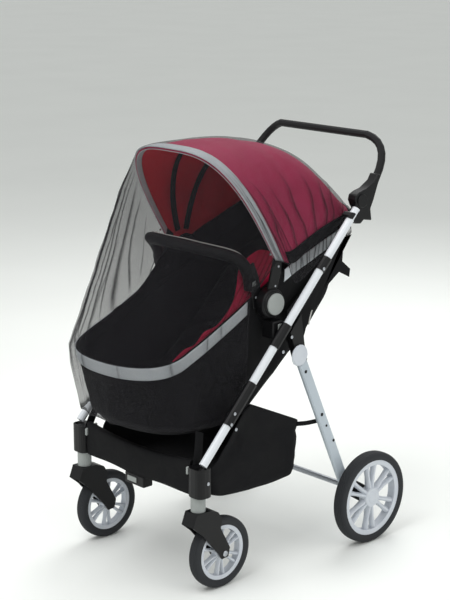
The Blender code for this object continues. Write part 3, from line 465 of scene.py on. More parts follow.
def cloth(
    name: str,
    rows: Rows,
    thickness: float = 0.0,
    side: int = -1,
    closed: bool = False,
    floor: bool = False,
    slots: Optional[Callable[[int, int], int]] = None,
    inner_slot: int = 0,
    edge_slot: int = 0,
) -> bpy.types.Object:
    """A sheet of cloth on rows of points, with its own lengths as its UV map.

    Args:
        name: the object's name.
        rows: lines of points, all as long.
        thickness: the cloth's thickness, or 0 for a single layer.
        side: -1 puts the thickness inside the surface, 1 outside.
        closed: whether each row is a ring.
        floor: whether the last ring is closed by a floor.
        slots: row and column to material slot.
        inner_slot: how many slots further on the inner layer's material is.
        edge_slot: how many slots further on the cut edge's material is.

    Returns:
        The object.
    """
    points = [point for line in rows for point in line]
    count = len(rows[0])
    faces = grid_faces(len(rows), count, closed)
    kinds = [slots(k // (count if closed else count - 1), k % (count if closed else count - 1))
             if slots else 0 for k in range(len(faces))]
    if floor:
        base = (len(rows) - 1) * count
        for k in range(count // 2):
            left = [base + k, base + k + 1]
            right = [base + (count - k - 1) % count, base + (count - k) % count]
            faces.append(list(dict.fromkeys(left + right)))
            kinds.append(0)
    mesh = bpy.data.meshes.new(name)
    mesh.from_pydata([tuple(point) for point in points], [], facing_out(points, faces))
    along = [[0.0] * count for _ in rows]
    down = [[0.0] * count for _ in rows]
    for r, line in enumerate(rows):
        for c in range(1, count):
            along[r][c] = along[r][c - 1] + (line[c] - line[c - 1]).length
        if r:
            for c in range(count):
                down[r][c] = down[r - 1][c] + (line[c] - rows[r - 1][c]).length
    middle = count // 2
    layer = mesh.uv_layers.new(name="Lengths")
    for loop in mesh.loops:
        r, c = divmod(loop.vertex_index, count)
        layer.data[loop.index].uv = (along[r][c] - along[r][middle], down[r][c])
    mesh.polygons.foreach_set("material_index", kinds)
    thing = link(name, mesh)
    if thickness:
        layer_mod = thing.modifiers.new("Thickness", "SOLIDIFY")
        layer_mod.thickness = thickness
        layer_mod.offset = side
        layer_mod.use_even_offset = True
        layer_mod.material_offset = inner_slot
        layer_mod.material_offset_rim = edge_slot
    return thing


def tube(
    name: str,
    path: Sequence[Vector],
    radius: float | Sequence[float],
    sides: int = 16,
    flat: float = 1.0,
    across: Vector = Vector((1, 0, 0)),
) -> bpy.types.Object:
    """A round or flattened tube along a line of points, with filled ends.

    Args:
        name: the object's name.
        path: the points of its middle line.
        radius: one radius, or one for each point.
        sides: faces round the tube.
        flat: its thickness as a share of its width.
        across: the direction that its width lies along at the start.

    Returns:
        The object.
    """
    path = [Vector(point) for point in path]
    radii = list(radius) if isinstance(radius, (list, tuple)) else [radius] * len(path)
    points = []
    for k, centre in enumerate(path):
        way = (path[min(k + 1, len(path) - 1)] - path[max(k - 1, 0)]).normalized()
        wide = (across - way * across.dot(way)).normalized()
        across = wide
        up = way.cross(wide)
        for s in range(sides):
            angle = 2 * math.pi * s / sides
            points.append(centre + (wide * math.cos(angle) + up * math.sin(angle) * flat) * radii[k])
    faces = grid_faces(len(path), sides, closed=True)
    faces += [list(range(sides)), [len(points) - 1 - s for s in range(sides)]]
    return solid(name, points, faces, 50.0)


def plate(name: str, outline: Outline, x_from: float, x_to: float, edge: float = 0.0015) -> bpy.types.Object:
    """A plate: an outline of (y, z) points drawn out along X, with rounded edges."""
    count = len(outline)
    points = [(x, y, z) for x in (x_from, x_to) for y, z in outline]
    faces = [list(range(count)), list(range(2 * count - 1, count - 1, -1))]
    for here in range(count):
        after = (here + 1) % count
        faces.append([here, after, count + after, count + here])
    return rounded(solid(name, points, faces), edge)


def rounded(thing: bpy.types.Object, edge: float, segments: int = 3) -> bpy.types.Object:
    """Round an object's hard edges."""
    bevel = thing.modifiers.new("Edges", "BEVEL")
    bevel.width = edge
    bevel.segments = segments
    bevel.limit_method = "ANGLE"
    bevel.angle_limit = math.radians(32)
    bevel.harden_normals = False
    return thing


def turned(
    name: str,
    profile: Outline,
    x: float,
    y: float,
    z: float,
    side: int,
    sides: int = 40,
) -> bpy.types.Object:
    """A turned piece about an axis along X.

    Args:
        name: the object's name.
        profile: (distance outwards along X, radius) pairs, from the inner end to the outer one.
        x: the place of distance 0.
        y: the axis's place along the object.
        z: the axis's height.
        side: 1 for the near side and -1 for the far side.
        sides: faces round the axis.

    Returns:
        The object.
    """
    points = []
    for out, radius in profile:
        for k in range(sides):
            angle = 2 * math.pi * k / sides
            points.append((x + side * out, y + radius * math.cos(angle), z + radius * math.sin(angle)))
    faces = grid_faces(len(profile), sides, closed=True)
    last = (len(profile) - 1) * sides
    faces += [list(range(sides)), [last + k for k in reversed(range(sides))]]
    return solid(name, points, faces, 30.0)


def ring_about(name: str, loop: Outline, x: float, y: float, z: float, sides: int) -> bpy.types.Object:
    """A closed ring about an axis along X, from a closed loop of (along X, radius) pairs."""
    points = []
    for k in range(sides):
        angle = 2 * math.pi * k / sides
        c, s = math.cos(angle), math.sin(angle)
        points += [(x + out, y + radius * c, z + radius * s) for out, radius in loop]
    count = len(loop)
    faces = grid_faces(sides, count, closed=True)
    last = (sides - 1) * count
    faces += [[last + c, last + (c + 1) % count, (c + 1) % count, c] for c in range(count)]
    return solid(name, points, faces, 35.0)


def join(name: str, things: Sequence[bpy.types.Object]) -> bpy.types.Object:
    """Join small pieces of one kind into one object, with their modifiers applied."""
    graph = bpy.context.evaluated_depsgraph_get()
    work = bmesh.new()
    for thing in things:
        mesh = thing.evaluated_get(graph).to_mesh()
        mesh.transform(thing.matrix_world)
        work.from_mesh(mesh)
        thing.evaluated_get(graph).to_mesh_clear()
    mesh = bpy.data.meshes.new(name)
    work.to_mesh(mesh)
    work.free()
    for thing in things:
        bpy.data.objects.remove(thing, do_unlink=True)
    return link(name, mesh, 35.0)


def ease(here: float, low: float, high: float) -> float:
    """A smooth step from 0 at low to 1 at high."""
    share = min(max((here - low) / (high - low), 0.0), 1.0)
    return share * share * (3 - 2 * share)


def hump(here: float, middle: float, width: float) -> float:
    """A smooth hump of height 1."""
    return math.exp(-(((here - middle) / width) ** 2))


def catmull(values: Sequence[float], share: float) -> float:
    """A smooth value between the second and the third of four."""
    before, start, end, after = values
    square, cube = share * share, share ** 3
    return 0.5 * (
        2 * start
        + (end - before) * share
        + (2 * before - 5 * start + 4 * end - after) * square
        + (3 * start - before - 3 * end + after) * cube
    )


def read_line(rows: Sequence[tuple], key: str, value: str, at: float) -> float:
    """Read one column of a table against another along a smooth line."""
    last = len(rows) - 1
    place = 0
    while place < last - 1 and getattr(rows[place + 1], key) < at:
        place += 1
    low, high = getattr(rows[place], key), getattr(rows[place + 1], key)
    share = min(max((at - low) / (high - low), 0.0), 1.0)
    values = [getattr(rows[min(max(place + k, 0), last)], value) for k in (-1, 0, 1, 2)]
    return catmull(values, share)


def row_between(rows: Sequence[tuple], along: float) -> tuple:
    """A table's row at a share of the way from its first to its last."""
    last = len(rows) - 1
    place = min(int(along * last), last - 1)
    share = along * last - place
    around = [rows[min(max(place + k, 0), last)] for k in (-1, 0, 1, 2)]
    return type(rows[0])(*[catmull(values, share) for values in zip(*around)])


def resample(points: Sequence[Vector], count: int) -> list[Vector]:
    """The same line as a given number of evenly spaced points."""
    reach = [0.0]
    for start, end in zip(points, points[1:]):
        reach.append(reach[-1] + (end - start).length)
    even, place = [], 0
    for step in range(count):
        goal = reach[-1] * step / (count - 1)
        while place < len(points) - 2 and reach[place + 1] < goal:
            place += 1
        span = reach[place + 1] - reach[place]
        share = (goal - reach[place]) / span if span else 0.0
        even.append(points[place].lerp(points[place + 1], share))
    return even


def smooth_path(points: Sequence[Sequence[float]], steps: int = 8) -> list[Vector]:
    """A smooth line through a few points."""
    last = len(points) - 1
    line = []
    for place in range(last):
        around = [points[min(max(place + k, 0), last)] for k in (-1, 0, 1, 2)]
        for step in range(steps):
            line.append(Vector([catmull(values, step / steps) for values in zip(*around)]))
    line.append(Vector(points[-1]))
    return line


def normals_of(rows: Rows, closed: bool = False) -> Rows:
    """The outward direction at each point of a grid over the seat."""
    result = []
    last_row, last = len(rows) - 1, len(rows[0]) - 1
    for r in range(last_row + 1):
        line = []
        for c in range(last + 1):
            after = (c + 1) % (last + 1) if closed else min(c + 1, last)
            before = (c - 1) % (last + 1) if closed else max(c - 1, 0)
            across = rows[r][after] - rows[r][before]
            along = rows[min(r + 1, last_row)][c] - rows[max(r - 1, 0)][c]
            line.append(along.cross(across).normalized())
        result.append(line)
    return result


def moved(rows: Rows, amount: Callable[[int, int, Vector], float], closed: bool = False) -> Rows:
    """A grid with each point moved out along its direction by an amount."""
    return [
        [point + way * amount(r, c, point) for c, (point, way) in enumerate(zip(line, ways))]
        for r, (line, ways) in enumerate(zip(rows, normals_of(rows, closed)))
    ]


def ripple(point: Vector, size: float, seed: float = 0.0) -> float:
    """Smooth noise from -1 to 1 with lumps of a size in metres."""
    return noise.noise(point / size + Vector((seed, seed * 0.7, -seed)))


# Shapes shared by the hood, the tub and the net
class RimPoint(NamedTuple):
    """Height of the tub's rim and underside at a place along the seat."""

    y: float
    rim_z: float
    under_z: float


class HoodRow(NamedTuple):
    """One bow line of the hood."""

    base_y: float
    base_z: float
    top_y: float
    top_z: float
    half_width: float
    squareness: float


class HemDrop(NamedTuple):
    """How far the net hangs under the hood's own edge."""

    along: float
    drop: float


class Fold(NamedTuple):
    """A fold of the net: its places across, its half width and how far it stands out."""

    top_place: float
    foot_place: float
    width: float
    height: float


class Pleat(NamedTuple):
    """A gathered crease of the net: where it runs, how wide it is and how dense it looks; the net is also
    painted darker along it, as painted shade.
    """

    top_place: float
    foot_place: float
    start: float
    end: float
    width: float
    depth: float
    gather_and_shade: float


SHIFT_Y = 0.0215


@dataclass(frozen=True)
class TubForm:
    """The seat tub's form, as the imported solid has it."""

    half_width: float = 0.177
    foot_y: float = -0.411 + SHIFT_Y
    head_y: float = 0.300 + SHIFT_Y
    foot_depth: float = 0.122
    foot_squareness: float = 2.2
    head_corner: float = 0.085
    wall: float = 0.005
    taper: float = 0.020
    foot_lean: float = 0.034
    band_height: float = 0.031
    front_end_y: float = -0.092 + SHIFT_Y
    rear_end_y: float = 0.034 + SHIFT_Y
    line: tuple[RimPoint, ...] = tuple(
        RimPoint(y + SHIFT_Y, rim, under)
        for y, rim, under in (
            (-0.411, 0.560, 0.398),
            (-0.340, 0.570, 0.386),
            (-0.270, 0.596, 0.377),
            (-0.180, 0.637, 0.368),
            (-0.090, 0.684, 0.376),
            (0.040, 0.746, 0.468),
            (0.130, 0.782, 0.544),
            (0.200, 0.808, 0.628),
            (0.260, 0.828, 0.712),
            (0.300, 0.838, 0.760),
        )
    )

    def loop(self, grow: float, drop: float, steps: int) -> list[tuple[float, float]]:
        """Half of the outline in plan, from the foot's middle to the head's middle."""
        half = self.half_width + grow - self.taper * drop
        foot = self.foot_y - grow + self.foot_lean * drop
        head = self.head_y + grow - self.taper * drop
        depth, turn = self.foot_depth + grow, self.head_corner + grow
        line = []
        for step in range(steps + 1):
            angle = math.radians(90 * step / steps)
            line.append((half * math.sin(angle) ** (2 / self.foot_squareness),
                         foot + depth * (1 - math.cos(angle) ** (2 / self.foot_squareness))))
        side_from, side_to = foot + depth, head - turn
        for step in range(1, steps * 2):
            line.append((half, side_from + (side_to - side_from) * step / (steps * 2)))
        for step in range(steps + 1):
            angle = math.radians(90 * step / steps)
            line.append((half - turn + turn * math.cos(angle), head - turn + turn * math.sin(angle)))
        return line + [((half - turn) * 0.5, head), (0.0, head)]

    def ring(self, grow: float, drop: float, steps: int = 16) -> list[Vector]:
        """A full ring around the tub at a share of the way down its wall."""
        half = self.loop(grow, drop, steps)
        around = half + [(-x, y) for x, y in reversed(half[1:-1])]
        ring = []
        for x, y in around:
            top = read_line(self.line, "y", "rim_z", y)
            low = read_line(self.line, "y", "under_z", y)
            ring.append(Vector((x, y, top + (low - top) * drop)))
        return ring

    def run(self, ring: list[Vector], end_y: float, way: int) -> list[Vector]:
        """The part of a ring past a place along the seat, from the near side to the far one.

        Args:
            ring: a full ring.
            end_y: where the run's two ends are cut.
            way: -1 for the foot end and 1 for the head end.

        Returns:
            The run's points.
        """
        half = len(ring) // 2
        line = list(reversed(ring[half:] + ring[:half + 1])) if way < 0 else ring + ring[:1]
        run = []
        for start, end in zip(line, line[1:]):
            inside = [(point.y - end_y) * way > 0 for point in (start, end)]
            if inside[0]:
                run.append(start)
            if inside[0] != inside[1]:
                run.append(start.lerp(end, (end_y - start.y) / (end.y - start.y)))
        return run


@dataclass(frozen=True)
class HoodForm:
    """The hood's form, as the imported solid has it."""

    skin: float = 0.003
    arch_steps: int = 200
    rows: tuple[HoodRow, ...] = tuple(
        HoodRow(base_y + SHIFT_Y, base_z, top_y + SHIFT_Y, top_z, half_width, squareness)
        for base_y, base_z, top_y, top_z, half_width, squareness in (
            (-0.022, 0.780, -0.182, 1.043, 0.203, 3.3),
            (0.006, 0.771, -0.152, 1.048, 0.203, 3.1),
            (0.042, 0.764, -0.055, 1.054, 0.201, 2.6),
            (0.098, 0.787, 0.046, 1.046, 0.195, 2.5),
            (0.158, 0.812, 0.148, 1.012, 0.189, 2.8),
            (0.216, 0.832, 0.240, 0.936, 0.182, 2.6),
            (0.262, 0.846, 0.313, 0.861, 0.170, 2.4),
        )
    )

    def arch(self, along: float, count: int, inset: float = 0.0) -> list[Vector]:
        """One bow line, from its near base over the top to its far base."""
        row = row_between(self.rows, along)
        dense = []
        for step in range(self.arch_steps + 1):
            angle = math.pi * step / self.arch_steps
            side, rise = math.cos(angle), math.sin(angle)
            x = math.copysign(abs(side) ** (2 / row.squareness), side) * (row.half_width - inset)
            height = max(rise, 0.0) ** (2 / row.squareness)
            dense.append(Vector((x, row.base_y + (row.top_y - row.base_y) * height,
                                 row.base_z + (row.top_z - inset - row.base_z) * height)))
        return resample(dense, count)

    def grid(self, rows: int, columns: int, start: float = 0.0, end: float = 1.0) -> Rows:
        """Rows of points over the hood, from the front bow to the back."""
        return [self.arch(start + (end - start) * r / (rows - 1), columns) for r in range(rows)]


# The net
@dataclass(frozen=True)
class Net:
    """The sheer net over the hood, the seat's opening and the tub."""

    tub: TubForm
    hood: HoodForm
    clearance: float = 0.0072
    hood_clearance: float = 0.0022
    band_clearance: float = 0.0018
    columns: int = 301
    back_rows: int = 8
    hood_rows: int = 118
    tent_rows: int = 54
    skirt_rows: int = 24
    back_hem: float = 0.050
    back_slack: float = 0.003
    skirt_drop: float = 0.92
    skirt_slack: float = 0.006
    rim_rise: float = 0.004
    stand_off: float = 0.0012
    # How much denser the threads lie in a pleat, in a gather beside the hood and in the hem; the net is also
    # painted darker wherever it is denser, as painted shade in its folds
    pleat_density_and_shade: float = 1.35
    gather_density_and_shade: float = 1.2
    hem_density: float = 0.75
    gather_width: float = 0.0065
    gather_depth: float = 0.0015
    flat: tuple[float, float] = (0.95, 1.10)
    hem_drops: tuple[HemDrop, ...] = (
        HemDrop(0.00, 0.004),
        HemDrop(0.22, 0.006),
        HemDrop(0.36, 0.056),
        HemDrop(0.65, 0.054),
        HemDrop(1.00, 0.050),
    )
    tent_folds: tuple[Fold, ...] = (
        Fold(0.10, 0.08, 0.020, 0.0040),
        Fold(0.22, 0.20, 0.022, 0.0055),
        Fold(0.36, 0.34, 0.020, 0.0040),
        Fold(0.50, 0.46, 0.022, 0.0050),
        Fold(0.60, 0.57, 0.019, 0.0070),
        Fold(0.665, 0.66, 0.018, 0.0085),
        Fold(0.715, 0.74, 0.018, 0.0095),
        Fold(0.765, 0.82, 0.018, 0.0085),
        Fold(0.82, 0.89, 0.018, 0.0065),
        Fold(0.92, 0.96, 0.020, 0.0040),
    )
    hood_folds: tuple[Fold, ...] = (
        Fold(0.05, 0.08, 0.020, 0.0035),
        Fold(0.15, 0.14, 0.018, 0.0040),
        Fold(0.27, 0.25, 0.022, 0.0035),
        Fold(0.50, 0.46, 0.020, 0.0030),
        Fold(0.70, 0.74, 0.022, 0.0035),
        Fold(0.83, 0.86, 0.018, 0.0040),
        Fold(0.94, 0.93, 0.018, 0.0035),
    )
    # Creases of the tent: start and end are shares of the way from the bow to the lower hem
    pleats: tuple[Pleat, ...] = (
        Pleat(0.018, 0.010, 0.00, 0.66, 0.0028, 0.0020, 0.75),
        Pleat(0.040, 0.036, 0.00, 0.64, 0.0025, 0.0020, 0.60),
        Pleat(0.062, 0.070, 0.02, 0.62, 0.0025, 0.0020, 0.50),
        Pleat(0.090, 0.112, 0.10, 0.80, 0.0025, 0.0020, 0.45),
        Pleat(0.150, 0.170, 0.52, 0.86, 0.0025, 0.0020, 0.40),
        Pleat(0.300, 0.262, 0.50, 0.92, 0.0030, 0.0020, 0.35),
        Pleat(0.430, 0.400, 0.58, 0.94, 0.0025, 0.0020, 0.30),
        Pleat(0.575, 0.545, 0.30, 0.84, 0.0032, 0.0025, 0.42),
        Pleat(0.622, 0.600, 0.10, 0.76, 0.0030, 0.0030, 0.60),
        Pleat(0.655, 0.640, 0.02, 0.86, 0.0034, 0.0030, 0.74),
        Pleat(0.690, 0.700, 0.00, 0.84, 0.0085, 0.0040, 0.62),
        Pleat(0.712, 0.735, 0.00, 0.80, 0.0030, 0.0035, 0.90),
        Pleat(0.735, 0.775, 0.00, 0.78, 0.0026, 0.0030, 0.72),
        Pleat(0.758, 0.815, 0.00, 0.74, 0.0034, 0.0030, 0.70),
        Pleat(0.790, 0.862, 0.02, 0.78, 0.0080, 0.0040, 0.58),
        Pleat(0.830, 0.915, 0.04, 0.70, 0.0034, 0.0025, 0.62),
        Pleat(0.890, 0.960, 0.06, 0.60, 0.0026, 0.0020, 0.42),
    )
    # Gathers beside the hood, drawn as denser, darker lines of net that partly stand for painted shade of the
    # hood's wrinkles: place along the hood at the hem, lean, how far up they reach, density
    hem_gathers_and_shade_lines: tuple[tuple[float, float, float, float], ...] = (
        (0.035, 0.02, 0.40, 0.60),
        (0.070, 0.10, 0.30, 0.75),
        (0.105, -0.06, 0.34, 0.60),
        (0.150, 0.14, 0.24, 0.75),
        (0.195, -0.16, 0.36, 0.60),
        (0.240, 0.06, 0.20, 0.80),
        (0.300, -0.30, 0.20, 0.45),
        (0.372, -0.55, 0.31, 0.60),
        (0.405, -0.10, 0.12, 0.75),
        (0.440, -0.35, 0.30, 0.55),
        (0.478, 0.05, 0.10, 0.80),
        (0.520, -0.25, 0.34, 0.60),
        (0.560, 0.10, 0.13, 0.80),
        (0.600, -0.05, 0.32, 0.55),
        (0.640, 0.12, 0.11, 0.80),
        (0.690, 0.00, 0.30, 0.70),
        (0.735, 0.15, 0.36, 0.60),
        (0.780, 0.10, 0.14, 0.80),
        (0.830, 0.20, 0.30, 0.60),
        (0.885, 0.25, 0.22, 0.70),
        (0.940, 0.20, 0.34, 0.55),
    )

    def hem_line(self, line: list[Vector], lowered: float, drop: float) -> list[Vector]:
        """A line over the hood, lowered as a whole and carried down at its ends."""
        line = [point - Vector((0, 0, lowered)) for point in line]
        down = Vector((0, 0, drop))
        return resample([line[0] - down] + line + [line[-1] - down], self.columns)

    def rim_line(self, drop: float, slack: float) -> list[Vector]:
        """The line around the foot end, from the near hub to the far hub."""
        ring = self.tub.ring(self.clearance + slack, drop, 24)
        return resample(self.tub.run(ring, self.tub.front_end_y, -1), self.columns)

    def lines(self) -> tuple[Rows, int]:
        """The net's smooth lines from its back hem to its foot hem.

        Returns:
            The lines, and the number of the line at the front bow.
        """
        over = []
        hood = self.hood.grid(self.hood_rows, 121)
        ways = normals_of(hood)
        out = self.hood_clearance + self.back_slack
        back = [point + way * out for point, way in zip(hood[-1], ways[-1])]
        for step in range(self.back_rows):
            share = 1 - step / self.back_rows
            over.append(self.hem_line(back, self.back_hem * share, self.back_hem * (1 - share)))
        for step in reversed(range(self.hood_rows)):
            along = step / (self.hood_rows - 1)
            out = self.hood_clearance + self.back_slack * ease(along, 0.6, 1.0)
            out += self.band_clearance * (1 - ease(along, 0.18, 0.30))
            line = [point + way * out for point, way in zip(hood[step], ways[step])]
            over.append(self.hem_line(line, 0.0, read_line(self.hem_drops, "along", "drop", along)))
        bow = len(over) - 1
        rim = [point + Vector((0, 0, self.rim_rise)) for point in self.rim_line(0.0, 0.0)]
        for step in range(1, self.tent_rows + 1):
            share = step / self.tent_rows
            over.append([start.lerp(end, share) for start, end in zip(over[bow], rim)])
        for step in range(1, self.skirt_rows + 1):
            share = step / self.skirt_rows
            slack = self.skirt_slack * math.sin(share * math.pi / 2)
            over.append(self.rim_line(self.skirt_drop * share, slack))
        return over, bow

    def fold_lift(self, row: int, place: float, bow: int) -> float:
        """How far the main folds stand out at a line and a place across it."""
        if row <= bow:
            share = row / bow
            lift = sum(f.height * hump(place, f.top_place + (f.foot_place - f.top_place) * share, f.width)
                       for f in self.hood_folds)
            return 0.4 * lift * ease(1 - share, 0.0, 0.2)
        down = (row - bow) / self.tent_rows
        share = min(down, 1.0)
        lift = sum(f.height * hump(place, f.top_place + (f.foot_place - f.top_place) * share, f.width)
                   for f in self.tent_folds) * ease(down, 0.0, 0.25)
        below = max(0.0, (row - bow - self.tent_rows) / self.skirt_rows)
        return lift * (1.0 + 0.4 * math.sin(below * math.pi))

    def crease(self, row: int, place: float, bow: int) -> tuple[float, float]:
        """Depth and density of the creases at a line and a place across it; the density also sets their painted
        shade.
        """
        depth, gather_and_shade = 0.0, 0.0
        if row > bow:
            down = (row - bow) / (self.tent_rows + self.skirt_rows)
            for pleat in self.pleats:
                if pleat.start - 0.05 < down < pleat.end + 0.05:
                    share = (down - pleat.start) / (pleat.end - pleat.start)
                    middle = pleat.top_place + (pleat.foot_place - pleat.top_place) * share
                    middle += 0.004 * math.sin(share * 7 + pleat.top_place * 40)
                    fade = ease(share, -0.05, 0.12) * ease(1 - share, -0.05, 0.25)
                    width = pleat.width * (0.6 + 0.8 * share)
                    line = hump(place, middle, width) * fade
                    depth += pleat.depth * line
                    gather_and_shade = max(gather_and_shade, min(1.0, self.pleat_density_and_shade * pleat.gather_and_shade) * line)
        else:
            along = 1 - max(0, row - self.back_rows) / (self.hood_rows - 1)
            edge = min(place, 1 - place)
            for spot, lean, reach, dense in self.hem_gathers_and_shade_lines:
                middle = spot + lean * edge + 0.008 * math.sin(edge * 40 + spot * 30)
                line = hump(along, middle, self.gather_width) * (1 - ease(edge, reach * 0.55, reach))
                depth += self.gather_depth * line
                gather_and_shade = max(gather_and_shade, min(1.0, self.gather_density_and_shade * dense) * line)
        return depth, gather_and_shade

    def build(self, dresser: Dresser) -> None:
        """Make the net with its folds, creases and doubled hem."""
        lines, bow = self.lines()
        last, wide = len(lines) - 1, self.columns - 1
        gathers_and_shade: list[float] = []
        shaped: Rows = []
        for row, (line, ways) in enumerate(zip(lines, normals_of(lines))):
            shaped_line = []
            tent = ease(row, bow, bow + 8)
            for column, (point, way) in enumerate(zip(line, ways)):
                place = column / wide
                depth, gather_and_shade = self.crease(row, place, bow)
                lift = self.fold_lift(row, place, bow) + depth
                lift += (0.0006 + 0.0016 * tent) * (ripple(point, 0.07) + 0.5 * ripple(point, 0.025, 4.0))
                hem = max(1 - ease(min(row, last - row), 1.0, 2.4),
                          1 - ease(min(column, wide - column), 1.0, 3.0))
                # Gathers make the net denser and also paint shade into its folds
                gathers_and_shade.append(max(gather_and_shade, self.hem_density * hem))
                shaped_line.append(point - way * (lift + self.stand_off))
            shaped.append(shaped_line)
        piece = cloth("net_drape", shaped)
        layer = piece.data.attributes.new("gather_and_shade", "FLOAT", "POINT")
        layer.data.foreach_set("value", gathers_and_shade)
        dresser.ride(piece, "net_mesh", Finish.NET, replaces=("mosquito_net",))


# The hood
@dataclass(frozen=True)
class Hood:
    """The hood's cloth in its two panels, its band, its bound edge and its rib sleeves."""

    form: HoodForm
    rows: int = 72
    columns: int = 181
    seam: float = 0.50
    band_share: float = 1 / 6
    rib_places: tuple[float, float] = (0.30, 0.48)
    rib_inset: float = 0.0092
    # Ribs: place along the hood over the middle, and at both ends beside the pivots
    rib_runs: tuple[tuple[str, float, float], ...] = (("front", 0.36, 0.235), ("rear", 0.60, 0.30))
    lining_front_z: float = 0.778
    lining_rise: float = 0.42
    # Heights of the cloth's forms: its sag behind the seam, ridges over the ribs, the seam's dip,
    # creases low on the sides, soft creases all over, and the most that it may stand out
    sag: float = 0.0010
    ridge: float = 0.0012
    seam_dip: float = 0.0042
    low_crease: float = 0.0026
    soft_crease: float = 0.0011
    highest: float = 0.0024
    fold_share: float = 0.115

    def wrinkle(self, along: float, place: float, point: Vector) -> float:
        """How far the cloth stands out from the plain form."""
        edge = min(place, 1 - place)
        inside = ease(edge, 0.040, 0.10)
        sag = -self.sag * math.sin(math.pi * ease(along, self.seam, 1.0)) * ease(edge, 0.0, 0.2)
        ridges = self.ridge * sum(hump(along, rib, 0.02) for rib in self.rib_places)
        seam = -self.seam_dip * hump(along, self.seam, 0.040) * ease(edge, 0.1, 0.3)
        radial = math.sin(along * 46 + 9 * edge + 2.2 * ripple(point, 0.08))
        low = self.low_crease * (1 - ease(edge, 0.05, 0.30)) * ease(along, 0.22, 0.4) * radial
        soft = self.soft_crease * ripple(point, 0.055, 2.0) * ease(along, 0.18, 0.30)
        return min(sag + ridges + seam + low + soft, self.highest) * ease(along, 0.0, 0.05) * inside

    def build(self, dresser: Dresser) -> None:
        """Make every piece of the hood."""
        grid = self.form.grid(self.rows, self.columns)
        wide, last = self.columns - 1, self.rows - 1
        skin = moved(grid, lambda r, c, point: self.wrinkle(r / last, c / wide, point) - 0.0004)
        seam_row = round(self.seam * last)

        def slot_of(r: int, c: int) -> int:
            """Front or rear panel, and black lining low at the back."""
            point = grid[r][c]
            dark = point.z < self.lining_front_z + self.lining_rise * (point.y - 0.10)
            return (0 if r < seam_row else 2) + (2 if dark and r >= seam_row else 0)

        piece = cloth("hood_cloth", skin, self.form.skin, -1, slots=slot_of, inner_slot=1)
        dresser.ride(piece, "burgundy_cloth", Finish.HOOD_FRONT, Finish.LINING, Finish.HOOD, Finish.LINING,
                     Finish.HOOD, Finish.PAD, replaces=("hood_skin",))
        self.build_band(dresser)
        self.build_binding(dresser, grid)
        for label, top, foot in self.rib_runs:
            rib = tube("rib_sleeve_" + label, self.rib_line(top, foot), 0.0092, 14, 0.30, Vector((0, 1, 0)))
            dresser.ride(rib, "black_plastic", Finish.BINDING, replaces=("hood_rib_" + label,))
        inset = self.form.skin + 0.0010
        rows = [self.form.arch(self.fold_share * share, self.columns, inset) for share in (0, 0.1, 0.5, 0.9, 1)]
        inner = cloth("hood_front_fold", rows, 0.0012, -1)
        dresser.ride(inner, "grey_cloth", Finish.BAND)

    def rib_line(self, top: float, foot: float) -> list[Vector]:
        """A rib's middle line inside the hood, from its near foot over the top to its far foot."""
        line = []
        for step in range(91):
            place = step / 90
            along = foot + (top - foot) * math.sin(math.pi * place) ** 0.8
            line.append(self.form.arch(along, 91, self.rib_inset)[step])
        return line[3:-3]

    def build_band(self, dresser: Dresser) -> None:
        """The light band round the front bow, on its outside; its fold over the edge is made with the hood."""
        rows = self.form.grid(13, self.columns, 0.0, self.band_share)
        last = len(rows) - 1

        def lift(r: int, c: int, point: Vector) -> float:
            """The band's stitched edges lie lower than its middle."""
            edge = min(r, last - r) / last
            return 0.0008 + 0.0012 * ease(edge, 0.0, 0.12) + 0.0003 * ripple(point, 0.02)

        piece = cloth("hood_front_ribbon", moved(rows, lift), 0.0016, 1)
        dresser.ride(piece, "grey_cloth", Finish.BAND, replaces=("hood_front_band",))

    def build_binding(self, dresser: Dresser, grid: Rows) -> None:
        """The black tape along the hood's sides and back."""
        first = self.rows // 4
        near, far = [line[0] for line in grid[first:-1]], [line[-1] for line in grid[first:-1]]
        low = near + grid[-1] + list(reversed(far))
        step = 7
        high = [line[step] for line in grid[first:-1]] + grid[-1 - step // 2] + [
            line[-1 - step] for line in reversed(grid[first:-1])]
        rows = [[a.lerp(b, share) for a, b in zip(low, high)] for share in (0.0, 0.2, 0.8, 1.0)]
        last = len(rows) - 1
        lifted = moved(rows, lambda r, c, point: -0.0016 - (0.0010 if 0 < r < last else 0.0))
        piece = cloth("hood_edge_tape", lifted, 0.0012, 1)
        dresser.ride(piece, "black_cloth", Finish.BINDING, replaces=("hood_binding",))


